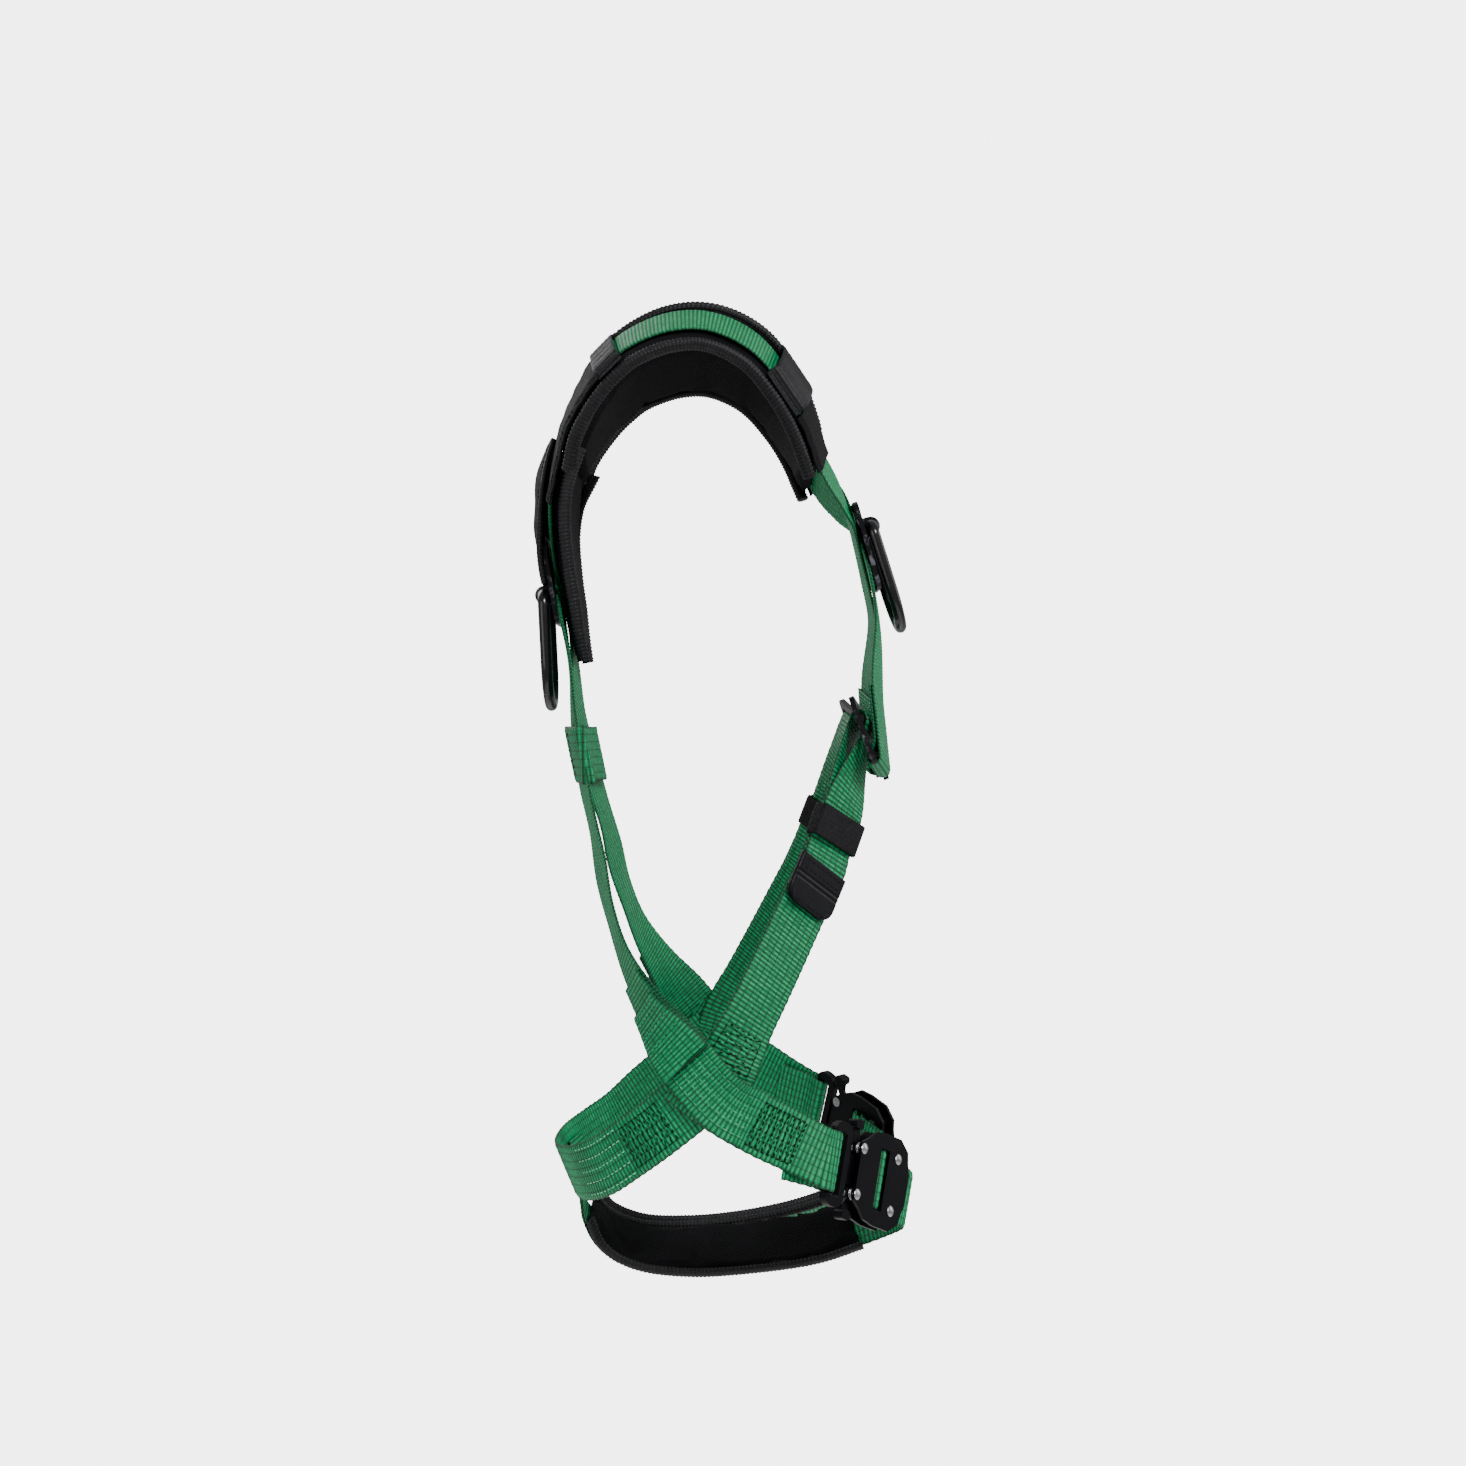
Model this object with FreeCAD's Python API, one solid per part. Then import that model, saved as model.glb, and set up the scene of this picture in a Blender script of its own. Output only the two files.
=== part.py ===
"""Full-body work harness in the shape it has when worn, with nobody inside it.

Millimetres. +Z is up, -Y is the wearer's front and -X the wearer's right hand. The origin is
inside the hips, at the height where the straps of each hip cross. Every route is written for the
right-hand side; the left-hand side is its mirror image.
"""
import FreeCAD, Part
import math
import os

V = FreeCAD.Vector

# ---- driving dimensions ----
WEB_WIDTH = 45.0
WEB_THICK = 2.6
LAYER = WEB_THICK + 0.2          # distance between the centres of two stacked webs
PAD_WIDTH = 77.0
PAD_THICK = 9.0
PAD_DEPTH = PAD_THICK / 2 + 0.6 + WEB_THICK / 2   # pad centre below the centre of the web on it
LEG_PAD_WIDTH = 58.0
LEG_PAD_THICK = 7.0

RING_HALF_WIDTH = 33.0           # centre of the ring's bar, from its middle
RING_BAR = 4.5                   # radius of the ring's bar
RING_CORNER = 9.0
DORSAL_RING_DROP = 88.0          # pivot to the centre of the bar at the far end
STERNAL_RING_DROP = 84.0
PLATE_THICK = 3.5
EAR_WIDTH = 7.0
EAR_RADIUS = 7.6
EAR_PLACE = 15.0                 # middle of each ear from the middle of the plate
PIVOT_GAP = 0.35

ADJUSTER_WIDTH = 62.0
ADJUSTER_THICK = 4.0
ADJUSTER_BAR = 3.5               # radius of the fixed bar
SLIDER_RADIUS = 4.0
SLIDER_TRAVEL = 2.5
WRAP_GAP = 0.3

KEEPER_LENGTH = 25.0
KEEPER_THICK = 1.4
KEEPER_GAP = 1.1
TAIL_RISE = 2.6                  # by which the tail lifts off the web under it inside its keeper
TIP_LENGTH = 38.0

HOUSING_START = 26.0             # along the buckle, from the loop end of its tongue
HOUSING_END = 93.5
HOUSING_HALF = 35.5
PLATE_OUTER = 7.0                # outer face of each housing plate from the buckle's middle
HOUSING_PLATE = 2.5
LEFT_RIVET = (33.0, 17.5)
RIGHT_RIVET = (77.0, 20.0)
RIVET_RADIUS = 3.0
RIVET_HEAD = 4.1
WINDOW = (60.0, 10.8, 46.4)      # middle along the buckle, width and length
WEB_BAR_RADIUS = 1.9
WEB_BAR_LIFT = 2.0               # above the buckle's middle
TONGUE_HALF = 32.0
LEVER_THICK = 3.0
SPRING_RADIUS = 4.1
SPRING_WIRE = 0.5

SPAN = 16.0                      # longest step between two cross sections of a strap
SIDES = (("r", False), ("l", True))


def unit(vector):
    """A copy of the vector, one long."""
    copy = V(vector)
    return copy.normalize()


def save(shape, name):
    """Write one node."""
    if not shape.isValid():
        print("invalid:", name)
    shape.exportStep("parts/" + name + ".step")


def mirrored(shape, left):
    """The right-hand shape, or its mirror image for the left."""
    return shape.mirror(V(0, 0, 0), V(1, 0, 0)) if left else shape


def save_pair(build, name):
    """Write the right and left copies of a piece."""
    shape = build()
    for side, left in SIDES:
        save(mirrored(shape, left), name + "_" + side)


class Axes:
    """A local frame: origin, across (x), along (y) and outward (z)."""

    def __init__(self, origin, along, outward):
        self.origin = V(*origin)
        self.along = unit(V(*along))
        out = V(*outward)
        self.outward = unit(out - self.along * out.dot(self.along))
        self.across = self.along.cross(self.outward)

    def point(self, x, y, z):
        return self.origin + self.across * x + self.along * y + self.outward * z

    def vector(self, x, y, z):
        return self.across * x + self.along * y + self.outward * z

    def station(self, place, facing):
        """One strap station at a local place, facing a local direction."""
        point = self.point(*place)
        facing = self.vector(*facing)
        return (point.x, point.y, point.z, facing.x, facing.y, facing.z)

    def put(self, shape):
        """A shape built in local coordinates, moved to its place."""
        a, b, c, o = self.across, self.along, self.outward, self.origin
        matrix = FreeCAD.Matrix(a.x, b.x, c.x, o.x, a.y, b.y, c.y, o.y, a.z, b.z, c.z, o.z, 0, 0, 0, 1)
        moved = shape.copy()
        moved.Placement = FreeCAD.Placement(matrix)
        return moved


DORSAL = Axes((0, 131.9, 387), (0, 0.172, 0.985), (0, 0.985, -0.172))
STERNAL = Axes((0, -121, 408), (0, 0.275, 0.962), (0, -0.962, 0.275))
ADJUSTER = Axes((-65, -121, 253), (0.32, 0.31, 0.895), (-0.123, -0.921, 0.369))
BUCKLE_OUT = V(-0.640, -0.769, 0.085)
BUCKLE_ALONG = V(0.695, -0.620, -0.374)
# the buckle's own length runs along its x, so "along" here is its upward side
BUCKLE = Axes((-145, -85, -59), tuple(BUCKLE_OUT.cross(BUCKLE_ALONG)), tuple(BUCKLE_OUT))
DORSAL_PIVOT = V(0, 136, 369)
STERNAL_PIVOT = V(0, -124.3, 424.2)


# ---- straps and pads ----
def lifted(stations, offset):
    """The same stations moved outward by an offset."""
    result = []
    for x, y, z, nx, ny, nz in stations:
        n = unit(V(nx, ny, nz))
        result.append((x + n.x * offset, y + n.y * offset, z + n.z * offset, nx, ny, nz))
    return result


def turned(stations):
    """The same stations as seen from the other side of the wearer."""
    return [(-x, y, z, -nx, ny, nz) for x, y, z, nx, ny, nz in stations]


def cross_section(point, across, normal, width, thick, bow):
    """The four edges round a strap or pad. With a bow its sides fall back from its middle."""
    half = across * (width / 2)
    up = normal * (thick / 2)
    drop = normal * bow
    top_left, top, top_right = point - half + up - drop, point + up, point + half + up - drop
    low_left, low, low_right = point - half - up - drop, point - up, point + half - up - drop
    sides = [Part.makeLine(top_right, low_right), Part.makeLine(low_left, top_left)]
    if not bow:
        return [Part.makeLine(top_left, top_right), sides[0], Part.makeLine(low_right, low_left), sides[1]]
    return [Part.Arc(top_left, top, top_right).toShape(), sides[0],
            Part.Arc(low_right, low, low_left).toShape(), sides[1]]


def between(a, b):
    """The face between two edges that run the same way."""
    if not isinstance(a.Curve, Part.Line):
        return Part.makeRuledSurface(a, b)
    patch = Part.BezierSurface()
    patch.increase(1, 1)
    for i, edge in enumerate((a, b)):
        for j, vertex in enumerate((edge.firstVertex(True), edge.lastVertex(True))):
            patch.setPole(i + 1, j + 1, vertex.Point)
    return patch.toShape()


def solid_through(sections):
    """Closed solid of straight stretches between one section and the next."""
    faces = []
    for before, after in zip(sections, sections[1:]):
        faces += [between(a, b) for a, b in zip(before, after)]
    faces += [between(ends[0], ends[2].reversed()) for ends in (sections[0], sections[-1])]
    shell = Part.makeShell(faces)
    shell.sewShape()
    solid = Part.Solid(shell)
    if solid.Volume < 0:
        solid.reverse()
    return solid


def smoothed(rows):
    """Rows of numbers, the first three a point, filled in along a centripetal Catmull-Rom curve."""
    first = [2 * a - b for a, b in zip(rows[0], rows[1])]
    last = [2 * a - b for a, b in zip(rows[-1], rows[-2])]
    padded = [first] + [list(row) for row in rows] + [last]
    knots = [0.0]
    for before, after in zip(padded, padded[1:]):
        knots.append(knots[-1] + math.dist(before[:3], after[:3]) ** 0.5)
    result = []
    for i in range(1, len(padded) - 2):
        a, b, c, d = padded[i - 1:i + 3]
        ta, tb, tc, td = knots[i - 1:i + 3]
        span = tc - tb
        steps = max(1, round(math.dist(b[:3], c[:3]) / SPAN))
        for step in range(steps):
            u = step / steps
            row = []
            for pa, pb, pc, pd in zip(a, b, c, d):
                slope_b = (pb - pa) / (tb - ta) - (pc - pa) / (tc - ta) + (pc - pb) / span
                slope_c = (pc - pb) / span - (pd - pb) / (td - tb) + (pd - pc) / (td - tc)
                row.append((2 * u ** 3 - 3 * u ** 2 + 1) * pb + (u ** 3 - 2 * u ** 2 + u) * span * slope_b
                           + (3 * u ** 2 - 2 * u ** 3) * pc + (u ** 3 - u ** 2) * span * slope_c)
            result.append(row)
    return result + [list(rows[-1])]


def strap(stations, widths=WEB_WIDTH, thick=WEB_THICK, bows=0):
    """A flat band through hand-placed stations (x, y, z, and the way its face looks)."""
    count = len(stations)
    if not isinstance(widths, (list, tuple)):
        widths = [widths] * count
    if not isinstance(bows, (list, tuple)):
        bows = [bows] * count
    rows = smoothed([tuple(s) + (w, b) for s, w, b in zip(stations, widths, bows)])
    points = [V(*row[:3]) for row in rows]
    last = len(rows) - 1
    sections = []
    for i, point in enumerate(points):
        tangent = unit(points[min(i + 1, last)] - points[max(i - 1, 0)])
        facing = V(*rows[i][3:6])
        normal = unit(facing - tangent * facing.dot(tangent))
        sections.append(cross_section(point, tangent.cross(normal), normal, rows[i][6], thick, rows[i][7]))
    return solid_through(sections)


# Centre of the web that runs from the crossing at the back, over the shoulder, to the front plate.
SHOULDER_BACK = [
    (12, 121.3, 366, 0, 1, -0.17),
    (0, 124.9, 387, 0, 1, -0.12),
    (-20, 128.5, 410, -0.03, 1, -0.05),
    (-46, 128.5, 450, -0.1, 1, 0.12),
]
SHOULDER_TOP = [
    (-62, 120.5, 481, -0.18, 0.95, 0.25),
    (-72, 112.5, 504, -0.22, 0.86, 0.45),
    (-84, 95, 534, -0.34, 0.68, 0.64),
    (-88.6, 82.3, 548.1, -0.38, 0.55, 0.73),
    (-92, 68, 560, -0.42, 0.42, 0.8),
    (-96, 36, 573, -0.463, 0.16, 0.87),
    (-96, 4, 574, -0.463, -0.1, 0.88),
    (-92, -30, 559, -0.44, -0.4, 0.8),
    (-82, -56, 530, -0.38, -0.66, 0.65),
    (-70, -74, 498, -0.32, -0.8, 0.5),
    (-60, -84, 470, -0.28, -0.86, 0.4),
]
SHOULDER_FRONT = [
    (-42, -95, 454, -0.15, -0.93, 0.32),
    (-19, -105.5, 437, -0.02, -0.962, 0.275),
    (0, -114.6, 407, 0, -0.962, 0.275),
    (17, -122.6, 378, 0.05, -0.97, 0.22),
    (30, -129.5, 345, 0.1, -0.98, 0.1),
]
FIXED_BAR_PLACE = -20.0          # along the adjuster
SLIDER_PLACE = 12.0
UPPER_PULL = 14.0                # degrees by which the upper web leans out of the adjuster's plane
LOWER_PULL = 40.0                # degrees by which the lower web leans in behind it


def arc_stations(axes, centre, radius, start, end, step=25):
    """Stations of a web round a bar; centre and angles (degrees) lie in the axes' along-outward plane."""
    count = round(abs(end - start) / step)
    stations = []
    for i in range(count + 1):
        angle = math.radians(start + (end - start) * i / count)
        a, o = math.cos(angle), math.sin(angle)
        place = (0, centre[0] + radius * a, centre[1] + radius * o)
        stations.append(axes.station(place, (0, a, o)))
    return stations


def double_web_stations():
    """Doubled end of the upper web: down in front, round the fixed bar and back up under itself."""
    wrap = ADJUSTER_BAR + WRAP_GAP + WEB_THICK / 2
    lean = math.radians(UPPER_PULL)
    up, out = math.cos(lean), math.sin(lean)
    front = 90 + UPPER_PULL
    facing = (0, -out, up)

    def beside(distance, layer):
        return (0, FIXED_BAR_PLACE + up * distance - out * layer, out * distance + up * layer)

    down = [ADJUSTER.station(beside(d, wrap), facing) for d in (58, 30, 12)]
    turn = arc_stations(ADJUSTER, (FIXED_BAR_PLACE, 0), wrap, front, front + 210)
    back = [ADJUSTER.station(beside(d, layer), (0, out, -up)) for d, layer in
            ((9, -0.5), (14, 1.9), (24, wrap - LAYER), (58, wrap - LAYER))]
    return down + turn + back


def shoulder_web(left):
    """One web; the two cross at the back and the front, so the left one lies a layer further out."""
    offset = LAYER if left else 0.0
    stations = lifted(SHOULDER_BACK, offset) + SHOULDER_TOP
    stations += SHOULDER_FRONT[:1] + lifted(SHOULDER_FRONT[1:4], offset) + SHOULDER_FRONT[4:]
    stations += turned(double_web_stations())
    return mirrored(strap(stations), left)


HIP_WIDTH = 163.6                # half width of the hips under the innermost web
HIP_DEPTH = 117.6
HIP_MIDDLE = -5.0
WAIST_TAPER = 0.0004             # narrowing of the body per millimetre above the hips


def hip(y, z, layer):
    """Station on the side of the hip, a number of layers of web out from the body."""
    depth = HIP_DEPTH + layer * LAYER
    width = (HIP_WIDTH + layer * LAYER) * (1 - WAIST_TAPER * max(z, 0))
    x = -width * math.sqrt(1 - ((y - HIP_MIDDLE) / depth) ** 2)
    facing = unit(V(x / width ** 2, (y - HIP_MIDDLE) / depth ** 2, 0))
    return (x, y, z, facing.x, facing.y, 0)


BACK_WEB = [
    (-42, 111, 268, -0.15, 0.97, -0.1),
    (-65, 103, 228, -0.2, 0.97, -0.1),
    (-88, 94, 192, -0.16, 0.97, -0.1),
    (-108, 86, 156, -0.14, 0.97, 0.1),
    (-127, 77, 121, -0.16, 0.95, -0.1),
    (-142, 65, 88, -0.32, 0.88, -0.32),
    (-155, 44, 53, -0.6, 0.74, -0.33),
    hip(23, 22, 3),
    hip(4, -1, 3),
    hip(-12, -16, 3),
    hip(-30, -26, 3),
]


def back_web(left):
    """From the crossing at the back to the hip; it carries on where the opposite shoulder web ends."""
    offset = 0.0 if left else LAYER
    start = lifted([(-13.6, 120.6, 362, 0, 1, -0.17), (-20, 117.6, 344, 0, 1, -0.17)], offset)
    return mirrored(strap(start + [(-30, 114.5, 310, -0.08, 0.98, -0.12)] + BACK_WEB), left)


LEG_FRONT = [hip(24, 8, 2), hip(6, -5, 2), hip(-14, -18, 2), hip(-36, -31, 2),
             (-155.5, -58, -43, -0.83, -0.53, 0.085)]
TONGUE_BAR = 3.6                 # middle of the tongue's web bar, along the buckle
TONGUE_BAR_RADIUS = 3.5


def along_buckle(x, z, facing):
    """Station on the buckle's middle line, facing a direction (along, out) of the buckle."""
    return BUCKLE.station((x, 0, z), (facing[0], 0, facing[1]))


def buckle_wrap(centre, radius, start, end):
    """Stations of a web round one of the buckle's cross bars; angles are from the buckle's length."""
    stations = []
    count = round(abs(end - start) / 30)
    for i in range(count + 1):
        angle = math.radians(start + (end - start) * i / count)
        a, o = math.cos(angle), math.sin(angle)
        stations.append(along_buckle(centre[0] + radius * a, centre[1] + radius * o, (a, o)))
    return stations


def leg_front_web():
    """From the hip to the tongue of the leg buckle, round its bar and back under itself."""
    wrap = TONGUE_BAR_RADIUS + WRAP_GAP + WEB_THICK / 2
    x = TONGUE_BAR
    outer = [along_buckle(x - 11, wrap - 1.2, (-0.1, 1))]
    turn = buckle_wrap((x, 0), wrap, 90, -90)
    inner = [along_buckle(x - 10, -wrap + 0.5, (0.1, -1)), along_buckle(x - 21, -9.6, (0.4, -0.92)),
             along_buckle(x - 34, -15.8, (0.28, -0.96))]
    return strap(LEG_FRONT + outer + turn + inner)


SEAT_WEB = [
    hip(4, -3, 1),
    hip(20, -15, 1),
    hip(42, -34, 1),
    (-138, 64, -52, -0.75, 0.65, -0.15),
    (-117, 85, -69, -0.56, 0.8, -0.22),
    (-88, 103, -79, -0.36, 0.88, -0.32),
    (-50, 115, -84, -0.16, 0.92, -0.38),
    (0, 119, -86, 0, 0.918, -0.397),
]


def seat_strap():
    """Under the seat from hip to hip."""
    return strap(SEAT_WEB + turned(SEAT_WEB[-2::-1]))


HIP_TO_ADJUSTER = [
    hip(-4, -6, 0),
    hip(-11, 14, 0),
    (-155.5, -25, 42, -0.82, -0.56, 0.15),
    (-142, -41, 73, -0.74, -0.64, 0.2),
    (-123, -58, 107, -0.68, -0.68, 0.25),
    (-105, -74, 140, -0.62, -0.72, 0.3),
    (-95, -86, 171, -0.58, -0.76, 0.32),
    (-87, -97, 199, -0.5, -0.8, 0.36),
]
TIP = Axes((-99.2, -80.8, 157.5), (14.4, -15, 34), (-0.6, -0.74, 0.31))
TIP_BASE = 2.1                   # underside of the moulded tip, above the middle of the web under it
TIP_THICK = 5.6
TIP_POCKET = 14.0
TAIL_IN_TIP = TIP_BASE + TIP_THICK / 2


def lower_front_web():
    """From the hip up over the adjuster's slider and back down as the tail."""
    wrap = SLIDER_RADIUS + WRAP_GAP + WEB_THICK / 2
    back, front = LOWER_PULL - 90, LOWER_PULL + 90
    rise = [(x, y, z, -nx, -ny, -nz) for x, y, z, nx, ny, nz in HIP_TO_ADJUSTER]
    loose = (SLIDER_PLACE + SLIDER_TRAVEL + 0.2, 0)
    lean = math.radians(LOWER_PULL)
    down, into = -math.cos(lean), -math.sin(lean)

    def beside(centre, distance, side):
        angle = math.radians(side)
        return (0, centre[0] + wrap * math.cos(angle) + down * distance, wrap * math.sin(angle) + into * distance)

    climb = [ADJUSTER.station(beside(loose, 15, back), (0, -into, down))]
    turn = arc_stations(ADJUSTER, loose, wrap, back, front - 30)
    fall = arc_stations(ADJUSTER, (SLIDER_PLACE, 0), wrap, front - 20, front, 20)
    fall.append(ADJUSTER.station(beside((SLIDER_PLACE, 0), 14, front), (0, into, -down)))
    keeper = lifted([HIP_TO_ADJUSTER[-1], (-93.4, -88.1, 176, -0.57, -0.765, 0.32)], LAYER + 0.3)
    end = [TIP.station((0, 2, TAIL_IN_TIP), (0, 0, 1)), TIP.station((0, 1 - TIP_POCKET, TAIL_IN_TIP), (0, 0, 1))]
    return strap(rise + climb + turn + fall + keeper + end)


def strap_tip():
    """Moulded cap on the end of the tail."""
    half = WEB_WIDTH / 2 + 2
    body = Part.makeBox(2 * half, TIP_LENGTH, TIP_THICK, V(-half, -TIP_LENGTH, TIP_BASE))
    body = body.makeFillet(11.0, [e for e in body.Edges if is_upright_at(e, -TIP_LENGTH)])
    gap = WEB_THICK / 2 + 0.2
    pocket = Part.makeBox(WEB_WIDTH + 0.6, TIP_POCKET + 0.1, 2 * gap,
                          V(-WEB_WIDTH / 2 - 0.3, -TIP_POCKET, TAIL_IN_TIP - gap))
    return TIP.put(body.cut(pocket))


def is_upright_at(edge, y):
    """Whether an edge runs along z at the given y."""
    a, b = edge.Vertexes[0].Point, edge.Vertexes[-1].Point
    return abs(a.y - y) < 0.01 and abs(b.y - y) < 0.01 and abs(a.x - b.x) < 0.01


def tail_keeper():
    """Elastic loop that holds the tail to the web under it."""
    middle = V(*HIP_TO_ADJUSTER[-2][:3]) * 0.5 + V(*HIP_TO_ADJUSTER[-1][:3]) * 0.5
    axes = Axes(tuple(middle), (7.2, -10.2, 27.2), (-0.54, -0.78, 0.34))
    inside = WEB_THICK / 2 + KEEPER_GAP
    far = inside + LAYER + TAIL_RISE
    half = WEB_WIDTH / 2 + KEEPER_GAP
    length = KEEPER_LENGTH
    outer = Part.makeBox(2 * (half + KEEPER_THICK), length, inside + far + 2 * KEEPER_THICK,
                         V(-half - KEEPER_THICK, -length / 2, -inside - KEEPER_THICK))
    inner = Part.makeBox(2 * half, length + 2, inside + far, V(-half, -length / 2 - 1, -inside))
    return axes.put(outer.cut(inner))


# ---- yoke ----
BACK_PAD = [(316, 105.5, 62), (335, 109.3, 76), (360, 113.4, 92), (385, 118.1, 104), (420, 123.1, 124),
            (450, 124.1, 160), (480, 118.6, 202)]
BACK_PAD_TOP = 480.0
PAD_SEAM = 1.3                   # gap between the back pad and each shoulder pad
PAD_CURVE = 0.0016               # fall of the back pad's sides, per square millimetre off its middle
COVER = [(377, 137.2, 76, 2), (398, 141.0, 90, 3), (425, 143.8, 104, 6.5), (455, 143.2, 112, 9),
         (474, 140, 106, 9), (493, 131, 92, 5)]


def back_pad():
    """The part of the yoke between the shoulder blades."""
    stations = [(0, y, z, 0, 1, 0) for z, y, width in BACK_PAD]
    widths = [width for z, y, width in BACK_PAD]
    bows = [PAD_CURVE * (width / 2) ** 2 for width in widths]
    return strap(stations, widths, PAD_THICK, bows)


def shoulder_pad():
    """From the top edge of the back pad over the shoulder to the chest."""
    stations = lifted(SHOULDER_BACK[-1:] + SHOULDER_TOP, -PAD_DEPTH)
    widths = [PAD_WIDTH] * (len(stations) - 1) + [PAD_WIDTH - 8]
    below = Part.makeBox(300, 100, 200, V(-300, 60, BACK_PAD_TOP + PAD_SEAM - 200))
    return strap(stations, widths, PAD_THICK, 1.0).cut(below)


def dorsal_cover():
    """Loose outer cover over the crossing at the back."""
    stations = [(0, y, z, 0, 1, 0) for z, y, width, bow in COVER]
    widths = [width for z, y, width, bow in COVER]
    bows = [bow for z, y, width, bow in COVER]
    return strap(stations, widths, 2.0, bows)


SLEEVE_LIFT = 2.9                # middle of a sleeve above the middle of the web in it
SLEEVE_WIDTH = 63.0
REAR_SLEEVE = SHOULDER_BACK[-1:] + SHOULDER_TOP[:3] + [(-85.9, 90.2, 540, -0.35, 0.63, 0.69)]
FRONT_SLEEVE = [(-74.6, -67.2, 510.5, -0.34, -0.76, 0.56)] + SHOULDER_TOP[-2:]


def sleeve(stations):
    """Fabric sleeve that covers the web on the yoke."""
    return strap(lifted(stations, SLEEVE_LIFT), SLEEVE_WIDTH, 1.8, 0.8)


def bridge(axes, half, height, length, thick):
    """Band that steps over a web: its feet rest at height 0 either side of it."""
    foot = 6.0
    slope = 3.0
    outline = [(-half - foot, 0), (-half, 0), (-half + slope, height), (half - slope, height), (half, 0),
               (half + foot, 0), (half + foot, thick), (half + thick * 0.6, thick),
               (half - slope + thick * 0.6, height + thick), (-half + slope - thick * 0.6, height + thick),
               (-half - thick * 0.6, thick), (-half - foot, thick)]
    points = [V(x, -length / 2, z) for x, z in outline]
    face = Part.Face(Part.makePolygon(points + points[:1]))
    return axes.put(face.extrude(V(0, length, 0)))


def keeper_axes(before, at, after):
    """Local frame of a keeper on the shoulder web, with its feet on the pad."""
    along = V(*after[:3]) - V(*before[:3])
    place = lifted([at], -WEB_THICK / 2 - 0.15)[0]
    return Axes(place[:3], tuple(along), tuple(at[3:]))


def rear_keeper():
    """Ribbed band that holds the web to the yoke behind the shoulder."""
    axes = keeper_axes(SHOULDER_TOP[2], SHOULDER_TOP[3], SHOULDER_TOP[4])
    return bridge(axes, WEB_WIDTH / 2 + 5.5, WEB_THICK + 2.6, 24.0, 1.6)


def front_keeper():
    """Wider band that holds the web to the yoke on the chest."""
    axes = keeper_axes(SHOULDER_TOP[7], SHOULDER_TOP[8], SHOULDER_TOP[9])
    return bridge(axes, WEB_WIDTH / 2 + 6.0, WEB_THICK + 5.5, 40.0, 1.8)


def lumbar_strap():
    """Cross strap of the lower back, each end looped round a back web and sewn to itself."""
    z = 242.0
    side = [
        (-30, 114.0, z, 0.0, 0.97, -0.2),
        (-58, 109.6, z, -0.2, 0.97, -0.2),
        (-80, 104.4, z, -0.3, 0.95, -0.2),
        (-87.5, 100.6, z, -0.97, 0.0, 0.0),
        (-82, 96.8, z, 0.2, -0.96, 0.2),
        (-58, 101.6, z, 0.18, -0.97, 0.2),
        (-28, 106.6, z, 0.08, -0.98, 0.2),
    ]
    middle = [(0, 108.6, z, 0, -0.98, 0.2)]
    return strap(side + middle + turned(side[::-1]), 45.0, 2.4)


# ---- leg loops ----
LEG_LOOP = [
    (-51, -151, -108.5, -0.05, -0.98, -0.2),
    (-40, -138, -117, 0.35, -0.87, -0.33),
    (-33, -114, -128, 0.6, -0.55, -0.58),
    (-31, -78, -141, 0.62, -0.15, -0.76),
    (-31, -30, -150, 0.55, 0, -0.83),
    (-32, 20, -154, 0.5, 0.05, -0.86),
    (-35, 62, -150, 0.4, 0.3, -0.86),
    (-39, 88, -137, 0.25, 0.7, -0.66),
    (-43, 102, -117, 0.05, 0.92, -0.4),
    (-46, 107.5, -95.5, -0.12, 0.93, -0.38),
    (-47, 115.9, -74.5, -0.15, 0.92, -0.38),
]
LEG_WEB_LEVEL = -9.7             # the web behind the housing, clear of the rivets' flat heads


def leg_web():
    """From a sewn fold over the housing's web bar, under the thigh and up to the seat strap."""
    wrap = WEB_BAR_RADIUS + 0.2 + WEB_THICK / 2
    middle = WINDOW[0]
    under = LEG_WEB_LEVEL - LAYER
    fold = [along_buckle(112, under, (0, -1)), along_buckle(92, under, (0, -1)),
            along_buckle(68, under, (0, -1)), along_buckle(60.5, under + 1.2, (-0.5, -0.85)),
            along_buckle(middle - wrap, under + 5, (-1, -0.2)), along_buckle(middle - wrap, -2, (-1, 0))]
    turn = buckle_wrap((middle, WEB_BAR_LIFT), wrap, 180, 0)
    back = [along_buckle(middle + wrap, -3, (1, 0)), along_buckle(middle + wrap + 0.8, -7.2, (0.9, 0.3)),
            along_buckle(middle + wrap + 4, LEG_WEB_LEVEL + 0.2, (0.3, 1)),
            along_buckle(74, LEG_WEB_LEVEL, (0, 1)), along_buckle(98, LEG_WEB_LEVEL, (0, 1))]
    return strap(fold + turn + back + LEG_LOOP)


def leg_pad():
    """Cushion under the thigh, between the leg web and the wearer."""
    depth = LEG_PAD_THICK / 2 + 0.2 + WEB_THICK / 2
    stations = lifted(LEG_LOOP[2:9], -depth)
    return strap(stations, LEG_PAD_WIDTH, LEG_PAD_THICK, 0.8)


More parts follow.
